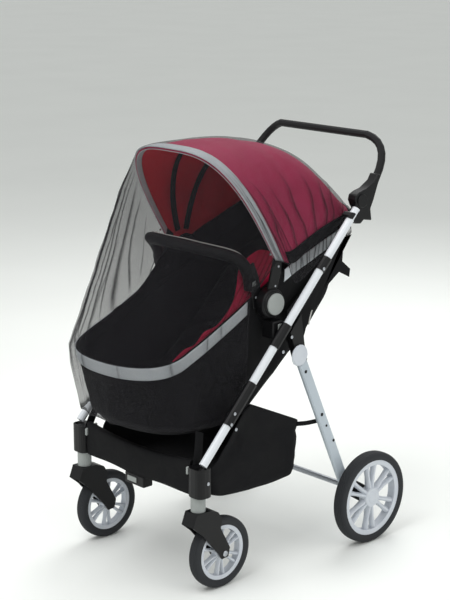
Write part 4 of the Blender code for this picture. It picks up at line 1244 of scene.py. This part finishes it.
# The seat
@dataclass(frozen=True)
class Seat:
    """The tub's cloth with its lining, and its rim bands; the pad in it is made with the lining."""

    form: TubForm
    drops: tuple[float, ...] = (0.0, 0.02, 0.05, 0.12, 0.20, 0.28, 0.36, 0.44, 0.52, 0.60, 0.68, 0.76, 0.84,
                                0.90, 0.94, 0.97, 1.0)
    lining_from_y: float = -0.20

    def build(self, dresser: Dresser) -> None:
        """Make the tub's cloth and its rim bands."""
        rings = []
        for drop in self.drops:
            rings.append(self.form.ring(-0.022 * ease(drop, 0.86, 1.0) ** 1.5, drop))
        middle_y = [point.y for point in rings[0]]

        def lift(r: int, c: int, point: Vector) -> float:
            """Soft creases of the outer cloth, flat at the rim and at the board underneath."""
            drop = self.drops[r]
            calm = ease(drop, 0.03, 0.25) * ease(1 - drop, 0.0, 0.2)
            sag = 0.0016 * math.sin(point.y * 55 + 3 * ripple(point, 0.12)) * hump(drop, 0.78, 0.25)
            return -calm * (0.0016 + 0.0012 * ripple(point, 0.08) + 0.0006 * ripple(point, 0.03, 3.0) + sag)

        outer = moved(rings, lift, closed=True)
        piece = cloth("tub_cloth", outer, self.form.wall, -1, closed=True, floor=True,
                      slots=lambda r, c: 2 if middle_y[c] > self.lining_from_y else 0, inner_slot=1)
        dresser.ride(piece, "black_cloth", Finish.TUB, Finish.PAD, Finish.TUB, Finish.LINING,
                     replaces=("seat_tub",))
        self.build_rim_bands(dresser)

    def build_rim_bands(self, dresser: Dresser) -> None:
        """The light bands round the rim, which the net presses on, puckered a little all along."""
        steps = (0.0, 0.10, 0.30, 0.50, 0.70, 0.90, 1.0)
        ring, below = self.form.ring(0.0008, 0.0, 24), self.form.ring(0.0008, 0.35, 24)
        height = self.form.band_height
        lines = [[top.lerp(low, height * share / (top.z - low.z)) for top, low in zip(ring, below)]
                 for share in steps]
        for label, end_y, way in (("front", self.form.front_end_y, -1), ("rear", self.form.rear_end_y, 1)):
            rows = [resample(self.form.run(line, end_y, way), 221) for line in lines]

            def lift(r: int, c: int, point: Vector) -> float:
                """Rolled edges and a slightly puckered middle."""
                middle = ease(min(steps[r], 1 - steps[r]), 0.0, 0.12)
                return middle * (0.0010 + 0.0005 * ripple(point, 0.012) + 0.0004 * ripple(point, 0.04, 5.0))

            if way > 0:
                rows = [list(reversed(line)) for line in rows]
            raised = moved(rows, lambda r, c, point: -abs(lift(r, c, point)))
            piece = cloth("rim_ribbon_" + label, raised, 0.0012, 1)
            dresser.ride(piece, "grey_cloth", Finish.BAND, replaces=("rim_band_" + label,))


# The padding and the frame
@dataclass(frozen=True)
class Lining:
    """The burgundy side wings, the black collar at the head and the quilted pad."""

    form: TubForm
    wing_inset: float = 0.011
    wing_lean: float = 0.030
    wing_depth: float = 0.030
    wing_fold: float = 0.0022
    # Top edge of a wing: place along the seat and height
    wing_line: tuple[tuple[float, float], ...] = (
        (-0.300, 0.577), (-0.262, 0.598), (-0.230, 0.604), (-0.200, 0.628), (-0.160, 0.638), (-0.125, 0.664),
        (-0.100, 0.690), (-0.080, 0.722), (-0.061, 0.758), (-0.034, 0.778), (-0.016, 0.787), (0.008, 0.794),
        (0.034, 0.788), (0.052, 0.776), (0.066, 0.764),
    )
    collar_inset: float = 0.0095
    collar_rise: float = 0.034
    collar_depth: float = 0.030
    # Pad: place along the seat, height, share of the full width
    pad_line: tuple[tuple[float, float, float], ...] = (
        (-0.3305, 0.449, 0.62), (-0.255, 0.451, 0.84), (-0.1785, 0.456, 1.0), (-0.0685, 0.492, 1.0),
        (0.0415, 0.580, 1.0), (0.1515, 0.690, 1.0), (0.205, 0.738, 0.95), (0.2595, 0.786, 0.71),
    )
    pad_half_width: float = 0.138
    pad_thickness: float = 0.024
    channel: float = 0.052

    def build(self, dresser: Dresser) -> None:
        """Make the wings, the collar and the pad."""
        for label, side in SIDES:
            self.build_wing(dresser, label, side)
        self.build_collar(dresser)
        self.build_pad(dresser)

    def build_wing(self, dresser: Dresser, label: str, side: int) -> None:
        """One side wing of the lining, standing over the rim beside the hood's pivot."""
        line = smooth_path([(0.0, y, z) for y, z in self.wing_line], 6)
        steps = (0.0, 0.06, 0.18, 0.34, 0.52, 0.70, 0.86, 1.0)
        rows = []
        for share in steps:
            row = []
            for point in line:
                rim = read_line(self.form.line, "y", "rim_z", point.y)
                low = rim - self.wing_depth
                lean = self.wing_lean * ease(point.z - rim, 0.0, 0.09) * (1 - share)
                out = self.form.half_width - self.wing_inset - lean
                spot = Vector((0.0, point.y, share * 0.05))
                fold = self.wing_fold * ripple(spot, 0.022, 7.0) * ease(share, 0.0, 0.2)
                row.append(Vector((side * (out + fold), point.y, point.z + (low - point.z) * share)))
            rows.append(row)
        piece = cloth("lining_wing_" + label, rows, 0.0035, -1, inner_slot=1, edge_slot=1)
        dresser.ride(piece, "burgundy_cloth", Finish.HOOD, Finish.PAD)

    def build_collar(self, dresser: Dresser) -> None:
        """The black cloth that closes the gap between the tub's rim and the hood."""
        ring = self.form.ring(-self.collar_inset, 0.0, 24)
        run = resample(self.form.run(ring, 0.040, 1), 161)
        rows = []
        for share in (0.0, 0.1, 0.3, 0.5, 0.7, 0.9, 1.0):
            lift = self.collar_rise - (self.collar_rise + self.collar_depth) * share
            rows.append([point + Vector((0, 0, lift)) for point in run])
        soft = moved(rows, lambda r, c, point: 0.0014 * ripple(point, 0.03, 9.0))
        piece = cloth("head_collar", soft, 0.0018, 1)
        dresser.ride(piece, "black_cloth", Finish.PAD)

    def build_pad(self, dresser: Dresser) -> None:
        """The quilted pad the child lies on, crowned between its sewn channels."""
        middle = smooth_path(self.pad_line, 18)
        rows = []
        for y, top, share in [tuple(point) for point in middle]:
            half = self.pad_half_width * share
            low = top - self.pad_thickness
            row = []
            for step in range(-20, 21):
                place = step / 20
                x = half * place
                edge = (1 - abs(place) ** 8) ** 0.5
                puff = 0.5 + 0.5 * math.cos(2 * math.pi * (y + 0.012 * math.sin(x * 40)) / self.channel)
                seam = -0.0045 * (1 - puff) ** 6 - 0.004 * hump(x, 0.0, 0.004)
                crown = 0.0025 * (1 - place * place) + seam + 0.0012 * ripple(Vector((x, y, 0)), 0.03)
                row.append(Vector((x, y, (top + low) / 2 + edge * (self.pad_thickness / 2 + crown))))
            for step in range(19, -20, -1):
                place = step / 20
                edge = (1 - abs(place) ** 8) ** 0.5
                row.append(Vector((half * place, y, (top + low) / 2 - edge * self.pad_thickness / 2)))
            rows.append(row)
        count = len(rows[0])
        faces = grid_faces(len(rows), count, closed=True)
        faces += [list(range(count)), [(len(rows) - 1) * count + k for k in range(count)]]
        piece = solid("quilted_pad", [point for row in rows for point in row], faces, 60.0)
        dresser.ride(piece, "burgundy_cloth", Finish.PAD, replaces=("seat_pad",))


@dataclass(frozen=True)
class Bumper:
    """The foam-covered bar across the seat, with a light strip along its top edge as a painted highlight; its
    end sockets are made with the side parts.
    """

    radius: float = 0.0170
    flatness: float = 0.86
    # Radius of the light strip that paints a highlight along the bar's top edge
    highlight_strip_radius: float = 0.0014
    # Half of its middle line, from the near foot to the middle
    line: tuple[tuple[float, float, float], ...] = (
        (0.163, -0.046, 0.708), (0.164, -0.051, 0.736), (0.163, -0.063, 0.764), (0.158, -0.081, 0.785),
        (0.142, -0.100, 0.796), (0.100, -0.110, 0.800), (0.050, -0.113, 0.801), (0.0, -0.1135, 0.802),
    )

    def build(self, dresser: Dresser) -> None:
        """Make the bar and the light strip along its top, a painted highlight."""
        whole = list(self.line) + [(-x, y, z) for x, y, z in reversed(self.line[:-1])]
        path = smooth_path(whole, 8)
        bar = tube("bumper_foam", path, self.radius, 28, self.flatness, Vector((1, 0, 0)))
        dresser.ride(bar, "black_foam", Finish.FOAM, replaces=("bumper_bar",))
        # Painted highlight: a thin light strip along the bar's top edge, standing for the light that catches it
        over = Vector((0, 0.003, self.radius * 0.93))
        highlight_strip = tube("bumper_piping", [point + over for point in path[22:-22]], self.highlight_strip_radius, 8)
        dresser.ride(highlight_strip, "grey_cloth", Finish.WEBBING)


def sided(name: str, label: str) -> str:
    """A name with its side's label behind it."""
    return "%s_%s" % (name, label)


class Turning(NamedTuple):
    """A turned piece of each side: its profile, its place, the faces round it and its look."""

    name: str
    profile: Outline
    x: float
    y: float
    z: float
    sides: int
    slot: str
    finish: Finish
    replaces: tuple[str, ...] = ()

    def make(self, dresser: Dresser, label: str, side: int) -> None:
        """Make it for one side."""
        name = sided(self.name, label)
        piece = turned(name, self.profile, side * self.x, self.y, self.z, side, self.sides)
        dresser.ride(piece, self.slot, self.finish, replaces=[sided(node, label) for node in self.replaces])


class Plate(NamedTuple):
    """A flat piece of each side: its outline, its two faces' places along X, its edge and its look."""

    name: str
    outline: Outline
    x_inner: float
    x_outer: float
    edge: float
    slot: str
    finish: Finish
    replaces: tuple[str, ...] = ()

    def make(self, dresser: Dresser, label: str, side: int) -> None:
        """Make it for one side."""
        name = sided(self.name, label)
        piece = plate(name, self.outline, side * self.x_inner, side * self.x_outer, self.edge)
        dresser.ride(piece, self.slot, self.finish, replaces=[sided(node, label) for node in self.replaces])


class Strap(NamedTuple):
    """A cord or strap of each side, fixed at both ends.

    Its section is a radius and the faces round it, and for a flat strap its flatness and the
    direction that it lies in.
    """

    name: str
    route: tuple[tuple[float, float, float], ...]
    steps: int
    section: tuple
    slot: str
    finish: Finish

    def make(self, dresser: Dresser, label: str, side: int) -> None:
        """Make it for one side."""
        route = smooth_path([(side * x, y, z) for x, y, z in self.route], self.steps)
        name = sided(self.name, label)
        dresser.ride(tube(name, route, *self.section), self.slot, self.finish)


class Bolt(NamedTuple):
    """A rivet or screw head on a face across X: where it sits and how wide it is."""

    x: float
    y: float
    z: float
    radius: float


HUB_Y, HUB_Z = -0.0095, 0.674
ALONG, UPWARDS = Vector((0, 1, 0)), Vector((0, 0, 1))
HINGE_OUTLINE = (
    (0.3056, 0.9437), (0.3160, 0.9600), (0.3290, 0.9560), (0.3172, 0.9322), (0.3030, 0.8960),
    (0.2920, 0.8746), (0.2970, 0.8440), (0.2678, 0.8493), (0.2570, 0.8406), (0.2386, 0.8431),
    (0.2200, 0.8582), (0.2130, 0.8660), (0.2230, 0.8740), (0.2379, 0.8705), (0.2500, 0.8768),
    (0.2410, 0.8883), (0.2345, 0.9019), (0.2385, 0.9150), (0.2546, 0.9219), (0.2765, 0.9268),
)


@dataclass(frozen=True)
class SideParts:
    """The hard pieces of both sides, with their straps and the flap at the back."""

    # The hood's pivot with the bow's leg and the bar's socket, and the handle's hinge
    mounts: tuple[Union[Turning, Plate], ...] = (
        Turning("pivot_housing", ((0.0, 0.030), (0.002, 0.037), (0.024, 0.037), (0.0275, 0.0345),
                                  (0.0280, 0.0315), (0.0305, 0.0305), (0.0320, 0.0285)),
                0.180, HUB_Y, HUB_Z, 56, "black_plastic", Finish.BLACK, ("hub_boss",)),
        Turning("pivot_disc", ((0.0, 0.0265), (0.0030, 0.0270), (0.0048, 0.0262), (0.0055, 0.0245),
                               (0.0058, 0.0150), (0.0062, 0.0)),
                0.2123, HUB_Y, HUB_Z, 56, "grey_plastic", Finish.GREY, ("hub_disc",)),
        Plate("bow_foot", ((HUB_Y - 0.015, HUB_Z + 0.036), (HUB_Y + 0.016, HUB_Z + 0.034),
                           (HUB_Y + 0.030, HUB_Z + 0.075), (0.022, 0.783), (0.001, 0.800), (-0.006, 0.775)),
              0.1960, 0.2030, 0.0018, "black_plastic", Finish.BLACK, ("bow_leg",)),
        Plate("bar_socket", ((-0.064, 0.772), (-0.050, 0.778), (-0.034, 0.742), (-0.024, 0.700),
                             (-0.030, 0.662), (-0.052, 0.662), (-0.055, 0.700), (-0.064, 0.738)),
              0.1745, 0.1800, 0.0015, "black_plastic", Finish.BLACK),
        Plate("handle_hinge", HINGE_OUTLINE, 0.2170, 0.2450, 0.0030, "black_plastic", Finish.BLACK,
              ("handle_knob",)),
        Turning("hinge_button", ((0.0, 0.017), (0.0025, 0.017), (0.0040, 0.0150)),
                0.2450, 0.259, 0.898, 40, "black_plastic", Finish.BLACK),
    )
    light_bolts: tuple[Bolt, ...] = (
        Bolt(0.2030, -0.018, 0.797, 0.0030),
        Bolt(0.2030, 0.010, 0.763, 0.0030),
        Bolt(0.2125, -0.010, 0.719, 0.0026),
        Bolt(0.1800, -0.043, 0.690, 0.0030),
        Bolt(0.2470, -0.175, 0.440, 0.0042),
        Bolt(0.2470, -0.186, 0.415, 0.0042),
        Bolt(0.2470, -0.171, 0.400, 0.0042),
        Bolt(0.2480, 0.013, 0.594, 0.0042),
        Bolt(0.2480, -0.016, 0.562, 0.0042),
        Bolt(0.2480, 0.122, 0.747, 0.0042),
        Bolt(0.2485, -0.262, 0.286, 0.0045),
    )
    dark_bolts: tuple[Bolt, ...] = (
        Bolt(0.2452, 0.066, 0.495, 0.0042),
        Bolt(0.2452, 0.126, 0.371, 0.0045),
        Bolt(0.2452, 0.143, 0.338, 0.0030),
        Bolt(0.2452, 0.170, 0.293, 0.0038),
    )
    flap_outline: tuple[tuple[float, float], ...] = (
        (0.290, 0.800), (0.262, 0.796), (0.257, 0.735), (0.287, 0.711), (0.284, 0.690), (0.246, 0.709),
        (0.189, 0.671), (0.178, 0.641), (0.143, 0.622), (0.118, 0.556), (0.060, 0.560), (0.060, 0.640),
        (0.160, 0.720), (0.220, 0.790),
    )
    straps: tuple[Strap, ...] = (
        Strap("recline_cord", ((0.186, 0.146, 0.626), (0.205, 0.120, 0.617), (0.222, 0.098, 0.606)),
              6, (0.0016, 8), "grey_cloth", Finish.WEBBING),
        Strap("seat_strap", ((0.205, -0.004, 0.560), (0.204, -0.040, 0.520), (0.205, -0.086, 0.489),
                             (0.210, -0.108, 0.464)),
              8, (0.0080, 12, 0.2, ALONG), "black_cloth", Finish.BINDING),
        Strap("front_strap", ((0.206, -0.262, 0.318), (0.200, -0.250, 0.352), (0.184, -0.232, 0.392)),
              8, (0.0130, 12, 0.2, ALONG), "black_cloth", Finish.BINDING),
        Strap("basket_tie", ((0.209, 0.070, 0.350), (0.222, 0.096, 0.350), (0.2315, 0.124, 0.352)),
              6, (0.0060, 12, 0.5, UPWARDS), "black_cloth", Finish.BINDING),
    )
    clips: tuple[Plate, ...] = (
        Plate("mount_label_plate", ((-0.009, 0.606), (0.008, 0.606), (0.008, 0.625), (-0.009, 0.625)),
              0.2216, 0.2240, 0.0008, "grey_plastic", Finish.GREY),
        Plate("hub_clip", ((-0.056, 0.718), (-0.045, 0.722), (-0.045, 0.733), (-0.056, 0.729)),
              0.1798, 0.1822, 0.0008, "grey_plastic", Finish.GREY),
        Plate("block_clip", ((-0.282, 0.300), (-0.246, 0.312), (-0.246, 0.327), (-0.282, 0.318)),
              0.1905, 0.1975, 0.0015, "grey_plastic", Finish.GREY),
        Plate("block_tab", ((-0.276, 0.276), (-0.262, 0.276), (-0.262, 0.296), (-0.276, 0.296)),
              0.1940, 0.1975, 0.0012, "grey_plastic", Finish.GREY),
    )

    def build(self, dresser: Dresser) -> None:
        """Make the pieces of each side."""
        for label, side in SIDES:
            for piece in self.mounts:
                piece.make(dresser, label, side)
            self.build_bolts(dresser, label, side)
            flap = plate("recline_flap_" + label, self.flap_outline, side * 0.1820, side * 0.1838, 0.0006)
            dresser.ride(flap, "black_cloth", Finish.TUB)
            for piece in self.straps + self.clips:
                piece.make(dresser, label, side)

    def build_bolts(self, dresser: Dresser, label: str, side: int) -> None:
        """Rivet heads on the sleeves and the pivots, and the dark rivets of the leg."""
        for name, finish, bolts in (("rivets_", Finish.STEEL, self.light_bolts),
                                    ("leg_rivets_", Finish.BLACK, self.dark_bolts)):
            heads = []
            for x, y, z, radius in bolts:
                profile = ((0.0, radius), (0.0008, radius), (0.0018, radius * 0.7), (0.0021, 0.0002))
                heads.append(turned("head", profile, side * x, y, z, side, 20))
            dresser.ride(join(name + label, heads), "grey_steel", finish)


@dataclass(frozen=True)
class WheelForm:
    """A wheel: a ribbed tyre on a rim that three pairs of mirrored spokes carry on each half."""

    label: str
    x: float
    y: float
    radius: float
    width: float
    rim_radius: float
    rim_inner: float
    hub_radius: float
    pairs: int = 6
    half_angle: float = 9.5
    groove: float = 0.0011

    def build(self, dresser: Dresser, side_label: str, side: int) -> None:
        """Make the tyre and the wheel's centre."""
        name = sided(self.label, side_label)
        x, half, low = side * self.x, self.width / 2, self.rim_radius + GAP
        top = self.radius
        belly, shoulder = low + (top - low) * 0.45, low + (top - low) * 0.72
        loop = [(-half * 0.80, low), (-half, belly), (-half * 0.93, shoulder)]
        for step in range(25):
            place = step / 24 * 2 - 1
            groove = self.groove * (1 if abs(math.sin(place * math.pi * 2.5)) < 0.32 else 0)
            loop.append((half * 0.80 * place, top - 0.0022 * abs(place) ** 3 - groove))
        loop += [(half * 0.93, shoulder), (half, belly), (half * 0.80, low)]
        tyre = ring_about("ribbed_tyre_" + name, loop, x, self.y, self.radius, 96)
        dresser.ride(tyre, "tyre_rubber", Finish.TYRE, replaces=(sided(self.label + "_tyre", side_label),))
        rim, inner, wide = self.rim_radius, self.rim_inner, half * 0.72
        loop = [(-wide, rim), (-wide, inner + 0.004), (-wide * 0.86, inner), (-wide * 0.45, inner + 0.003),
                (wide * 0.45, inner + 0.003), (wide * 0.86, inner), (wide, inner + 0.004), (wide, rim)]
        pieces = [ring_about("rim", loop, x, self.y, self.radius, 96)]
        hub = self.hub_radius
        profile = ((-wide, hub * 0.80), (-wide, hub * 0.92), (-wide * 0.8, hub), (wide * 0.8, hub),
                   (wide, hub * 0.92), (wide, hub * 0.62), (wide * 1.15, hub * 0.52), (wide * 1.2, hub * 0.30))
        pieces.append(turned("hub", profile, x, self.y, self.radius, side, 48))
        for pair in range(self.pairs):
            for lean in (-1, 1):
                angle = math.radians(360 * (pair + 0.5) / self.pairs + lean * self.half_angle)
                pieces.append(self.spoke(x, angle, wide))
        wheel = join("spoked_wheel_" + name, pieces)
        dresser.ride(wheel, "white_plastic", Finish.WHITE,
                     replaces=(sided(self.label + "_wheel", side_label),))

    def spoke(self, x: float, angle: float, wide: float) -> bpy.types.Object:
        """One tapered spoke from the hub to the rim, with a raised middle ridge."""
        out = Vector((0, math.cos(angle), math.sin(angle)))
        across = Vector((0, -math.sin(angle), math.cos(angle)))
        centre = Vector((x, self.y, self.radius))
        points = []
        size = self.rim_radius / 0.1
        for reach, half, deep in ((self.hub_radius * 0.85, 0.0072 * size, wide * 0.84),
                                  ((self.hub_radius + self.rim_inner) / 2, 0.0054 * size, wide * 0.62),
                                  (self.rim_inner + 0.003, 0.0074 * size, wide * 0.72)):
            for turn in range(8):
                way = math.radians(45 * turn + 22.5)
                points.append(centre + out * reach + across * half * math.cos(way)
                              + Vector((deep * math.sin(way), 0, 0)))
        faces = grid_faces(3, 8, closed=True) + [list(range(8)), [23 - k for k in range(8)]]
        return solid("spoke", points, faces, 40.0)


@dataclass(frozen=True)
class Chassis:
    """The wheels, the panel and latch at the front, the forks' bolts and the cloth basket."""

    wheels: tuple[WheelForm, ...] = (
        WheelForm("rear", 0.2725, 0.2795, 0.12054, 0.036, 0.1000, 0.0870, 0.026),
        WheelForm("front", 0.2190, -0.2005, 0.08966, 0.030, 0.0690, 0.0590, 0.018),
    )
    fork_bolt: Turning = Turning(
        "fork_bolt", ((0.0, 0.0075), (0.0012, 0.0075), (0.0022, 0.0060), (0.0024, 0.0030), (0.0014, 0.0028)),
        0.2406, -0.2005, 0.0897, 28, "grey_steel", Finish.STEEL)
    panel_half: float = 0.1975
    panel_y: float = -0.2665
    panel_top: float = 0.325
    panel_low: float = 0.248
    panel_bow: float = 0.010
    basket_half: float = 0.214
    basket_front: float = -0.252 + SHIFT_Y
    basket_back: float = 0.070 + SHIFT_Y
    basket_corner: float = 0.035
    basket_drops: tuple[float, ...] = (0.0, 0.03, 0.10, 0.20, 0.32, 0.45, 0.58, 0.70, 0.80, 0.88, 0.94, 1.0)
    basket_line: tuple[RimPoint, ...] = tuple(
        RimPoint(y + SHIFT_Y, top, low)
        for y, top, low in (
            (-0.252, 0.296, 0.236),
            (-0.200, 0.346, 0.222),
            (-0.120, 0.432, 0.215),
            (-0.084, 0.421, 0.214),
            (-0.030, 0.399, 0.213),
            (0.070, 0.354, 0.219),
        )
    )

    def build(self, dresser: Dresser) -> None:
        """Make the wheels and everything low on the frame."""
        for label, side in SIDES:
            for wheel in self.wheels:
                wheel.build(dresser, label, side)
            self.fork_bolt.make(dresser, label, side)
        self.build_panel(dresser)
        self.build_basket(dresser)

    def build_panel(self, dresser: Dresser) -> None:
        """The tall bowed panel between the front blocks, and the latch under its middle."""
        rows = []
        for step in range(49):
            x = self.panel_half * (step / 24 - 1)
            share = abs(x) / self.panel_half
            top = self.panel_top + 0.009 * share ** 2
            low = self.panel_low - 0.002 * math.cos(share * math.pi * 2)
            y = self.panel_y - self.panel_bow * (1 - share ** 2)
            row = []
            for turn in range(24):
                angle = 2 * math.pi * turn / 24
                c, s = math.cos(angle), math.sin(angle)
                row.append(Vector((x, y + math.copysign(abs(c) ** 0.55, c) * 0.010,
                                   (top + low) / 2 + math.copysign(abs(s) ** 0.35, s) * (top - low) / 2)))
            rows.append(row)
        ends = [list(range(24)), [48 * 24 + k for k in reversed(range(24))]]
        faces = grid_faces(49, 24, closed=True) + ends
        panel = solid("front_panel", [point for row in rows for point in row], faces, 40.0)
        dresser.ride(panel, "black_plastic", Finish.TUB, replaces=("cross_member",))
        latch = plate("fold_latch", ((-0.286, 0.222), (-0.256, 0.222), (-0.256, 0.250), (-0.286, 0.250)),
                      -0.034, 0.038, 0.0030)
        outline = ((-0.2885, 0.230), (-0.2855, 0.230), (-0.2855, 0.243), (-0.2885, 0.243))
        tab = plate("fold_latch_tab", outline, -0.022, 0.012, 0.0010)
        dresser.ride(latch, "black_plastic", Finish.BLACK)
        dresser.ride(tab, "grey_plastic", Finish.GREY)

    def basket_ring(self, drop: float) -> list[Vector]:
        """One ring of the basket at a share of the way down to its floor."""
        inset = 0.003 * ease(drop, 0.5, 0.85) + 0.007 * ease(drop, 0.88, 1.0)
        half, turn = self.basket_half - inset, self.basket_corner
        front, back = self.basket_front + inset, self.basket_back - inset
        quarter = [math.radians(90 * step / 10) for step in range(11)]
        line = [((half - turn) * step / 10, front) for step in range(10)]
        line += [(half - turn + turn * math.sin(a), front + turn - turn * math.cos(a)) for a in quarter]
        line += [(half, front + turn + (back - front - 2 * turn) * step / 24) for step in range(1, 24)]
        line += [(half - turn + turn * math.cos(a), back - turn + turn * math.sin(a)) for a in quarter]
        line += [((half - turn) * step / 10, back) for step in range(9, -1, -1)]
        ring = []
        for x, y in line + [(-x, y) for x, y in reversed(line[1:-1])]:
            top = read_line(self.basket_line, "y", "rim_z", y)
            low = read_line(self.basket_line, "y", "under_z", y)
            ring.append(Vector((x, y, top + (low - top) * drop)))
        return ring

    def build_basket(self, dresser: Dresser) -> None:
        """The cloth basket with its sagging sides and its bound top edge."""
        rings = [self.basket_ring(drop) for drop in self.basket_drops]

        def sag(r: int, c: int, point: Vector) -> float:
            """Pulled creases that run from the high corners of the side down to the floor."""
            drop = self.basket_drops[r]
            calm = ease(drop, 0.02, 0.25) * ease(1 - drop, 0.0, 0.15)
            pull = 0.0030 * math.sin((point.y * 0.6 + point.z) * 120 + 2 * ripple(point, 0.08))
            return -calm * (0.004 + pull * hump(drop, 0.35, 0.3) + 0.0022 * ripple(point, 0.06, 1.5))

        soft = moved(rings, sag, closed=True)
        piece = cloth("basket_cloth", soft, 0.0022, -1, closed=True, floor=True)
        dresser.ride(piece, "black_cloth", Finish.TUB, replaces=("storage_basket",))
        edge = tube("basket_edge", rings[0] + rings[0][:2], 0.0034, 10, 0.8)
        dresser.ride(edge, "black_cloth", Finish.BINDING)


@dataclass(frozen=True)
class StudioStage:
    """Pale floor, soft studio light and the camera at the photograph's angle."""

    azimuth: float = 47.2
    elevation: float = 14.0
    distance: float = 4.0
    target: tuple[float, float, float] = (0.0, SHIFT_Y, 0.64)
    lens: float = 94.68
    floor_size: float = 60.0

    def direction(self, azimuth: float, elevation: float) -> Vector:
        """The direction from the object to a place round it, angles in degrees."""
        a, e = math.radians(azimuth), math.radians(elevation)
        return Vector((math.sin(a) * math.cos(e), -math.cos(a) * math.cos(e), math.sin(e)))

    def build(self, dresser: Dresser) -> None:
        """Make the camera, the floor, the lamps and the sky."""
        scene = bpy.context.scene
        data = bpy.data.cameras.new("camera")
        data.sensor_fit, data.sensor_height, data.lens = "VERTICAL", 36.0, self.lens
        camera = bpy.data.objects.new("camera", data)
        back = self.direction(self.azimuth, self.elevation)
        camera.location = Vector(self.target) + back * self.distance
        camera.rotation_euler = back.to_track_quat("Z", "Y").to_euler()
        scene.collection.objects.link(camera)
        scene.camera = camera
        self.build_floor()
        # Azimuth, elevation, distance, size, power
        lamps = (
            ("key", 5.0, 52.0, 3.0, 2.2, 46.0),
            ("fill", 95.0, 30.0, 3.2, 2.6, 20.0),
            ("rim", 205.0, 40.0, 3.2, 2.2, 40.0),
            ("top", 300.0, 80.0, 3.4, 3.0, 24.0),
        )
        for name, azimuth, elevation, distance, size, power in lamps:
            lamp = bpy.data.lights.new(name, "AREA")
            lamp.shape, lamp.size, lamp.energy = "DISK", size, power
            thing = bpy.data.objects.new(name, lamp)
            way = self.direction(azimuth, elevation)
            thing.location = Vector(self.target) + way * distance
            thing.rotation_euler = way.to_track_quat("Z", "Y").to_euler()
            scene.collection.objects.link(thing)
        world = bpy.data.worlds.new("pale_studio")
        world.use_nodes = True
        sky = world.node_tree.nodes["Background"]
        sky.inputs["Color"].default_value = linear("F1F3F2")
        sky.inputs["Strength"].default_value = 0.66
        scene.world = world
        scene.view_settings.view_transform = "Standard"

    def build_floor(self) -> None:
        """A plain pale floor with a faint unevenness."""
        half = self.floor_size / 2
        mesh = bpy.data.meshes.new("studio_floor")
        corners = [(-half, -half, 0), (half, -half, 0), (half, half, 0), (-half, half, 0)]
        mesh.from_pydata(corners, [], [[0, 1, 2, 3]])
        floor = link("studio_floor", mesh)
        material, tree, shader = new_material("pale_paper")
        body = add(tree, "ShaderNodeTexCoord").outputs["Object"]
        cloud = add(tree, "ShaderNodeTexNoise", {"Scale": 1.5, "Detail": 2.0}, {"Vector": body})
        colour = add(tree, "ShaderNodeMixRGB", {"Color1": linear("F0F2EF"), "Color2": linear("F6F8F5")},
                     {"Fac": cloud.outputs["Fac"]})
        feed(tree, shader, {"Roughness": 0.9}, {"Base Color": colour.outputs[0]})
        mesh.materials.append(material)


@dataclass(frozen=True)
class CarriedNodes:
    """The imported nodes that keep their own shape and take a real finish."""

    finishes: tuple[tuple[str, Finish], ...] = (
        ("handlebar", Finish.FOAM),
        ("rear_axle", Finish.STEEL),
    )
    sided: tuple[tuple[str, Finish], ...] = (
        ("seat_link", Finish.BLACK),
        ("main_tube", Finish.PAINT),
        ("sleeve_upper", Finish.BLACK),
        ("sleeve_middle", Finish.BLACK),
        ("sleeve_lower", Finish.BLACK),
        # The rear legs take the darker copy of the white powder coat, as painted shade
        ("rear_leg", Finish.SHADED_LEG_PAINT),
        ("leg_bracket", Finish.BLACK),
        ("pivot_cap", Finish.WHITE),
        ("rear_bracket", Finish.BLACK),
        ("fork_inner", Finish.BLACK),
        ("fork_outer", Finish.BLACK),
        ("fork_crown", Finish.BLACK),
        ("caster_collar", Finish.GREY),
        ("front_block", Finish.BLACK),
    )

    def build(self, dresser: Dresser) -> None:
        """Dress every node that is carried over."""
        for name, finish in self.finishes:
            dresser.dress(bpy.data.objects[name], finish)
        for stem, finish in self.sided:
            for label, _ in SIDES:
                dresser.dress(bpy.data.objects[sided(stem, label)], finish)


def main() -> None:
    """Build every class in order and report its pieces."""
    logging.basicConfig(level=logging.INFO, format="%(message)s")
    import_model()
    dresser = Dresser()
    StudioStage().build(dresser)
    tub, hood = TubForm(), HoodForm()
    Seat(tub).build(dresser)
    Lining(tub).build(dresser)
    Hood(hood).build(dresser)
    Net(tub, hood).build(dresser)
    Bumper().build(dresser)
    SideParts().build(dresser)
    Chassis().build(dresser)
    CarriedNodes().build(dresser)


if __name__ == "__main__":
    main()
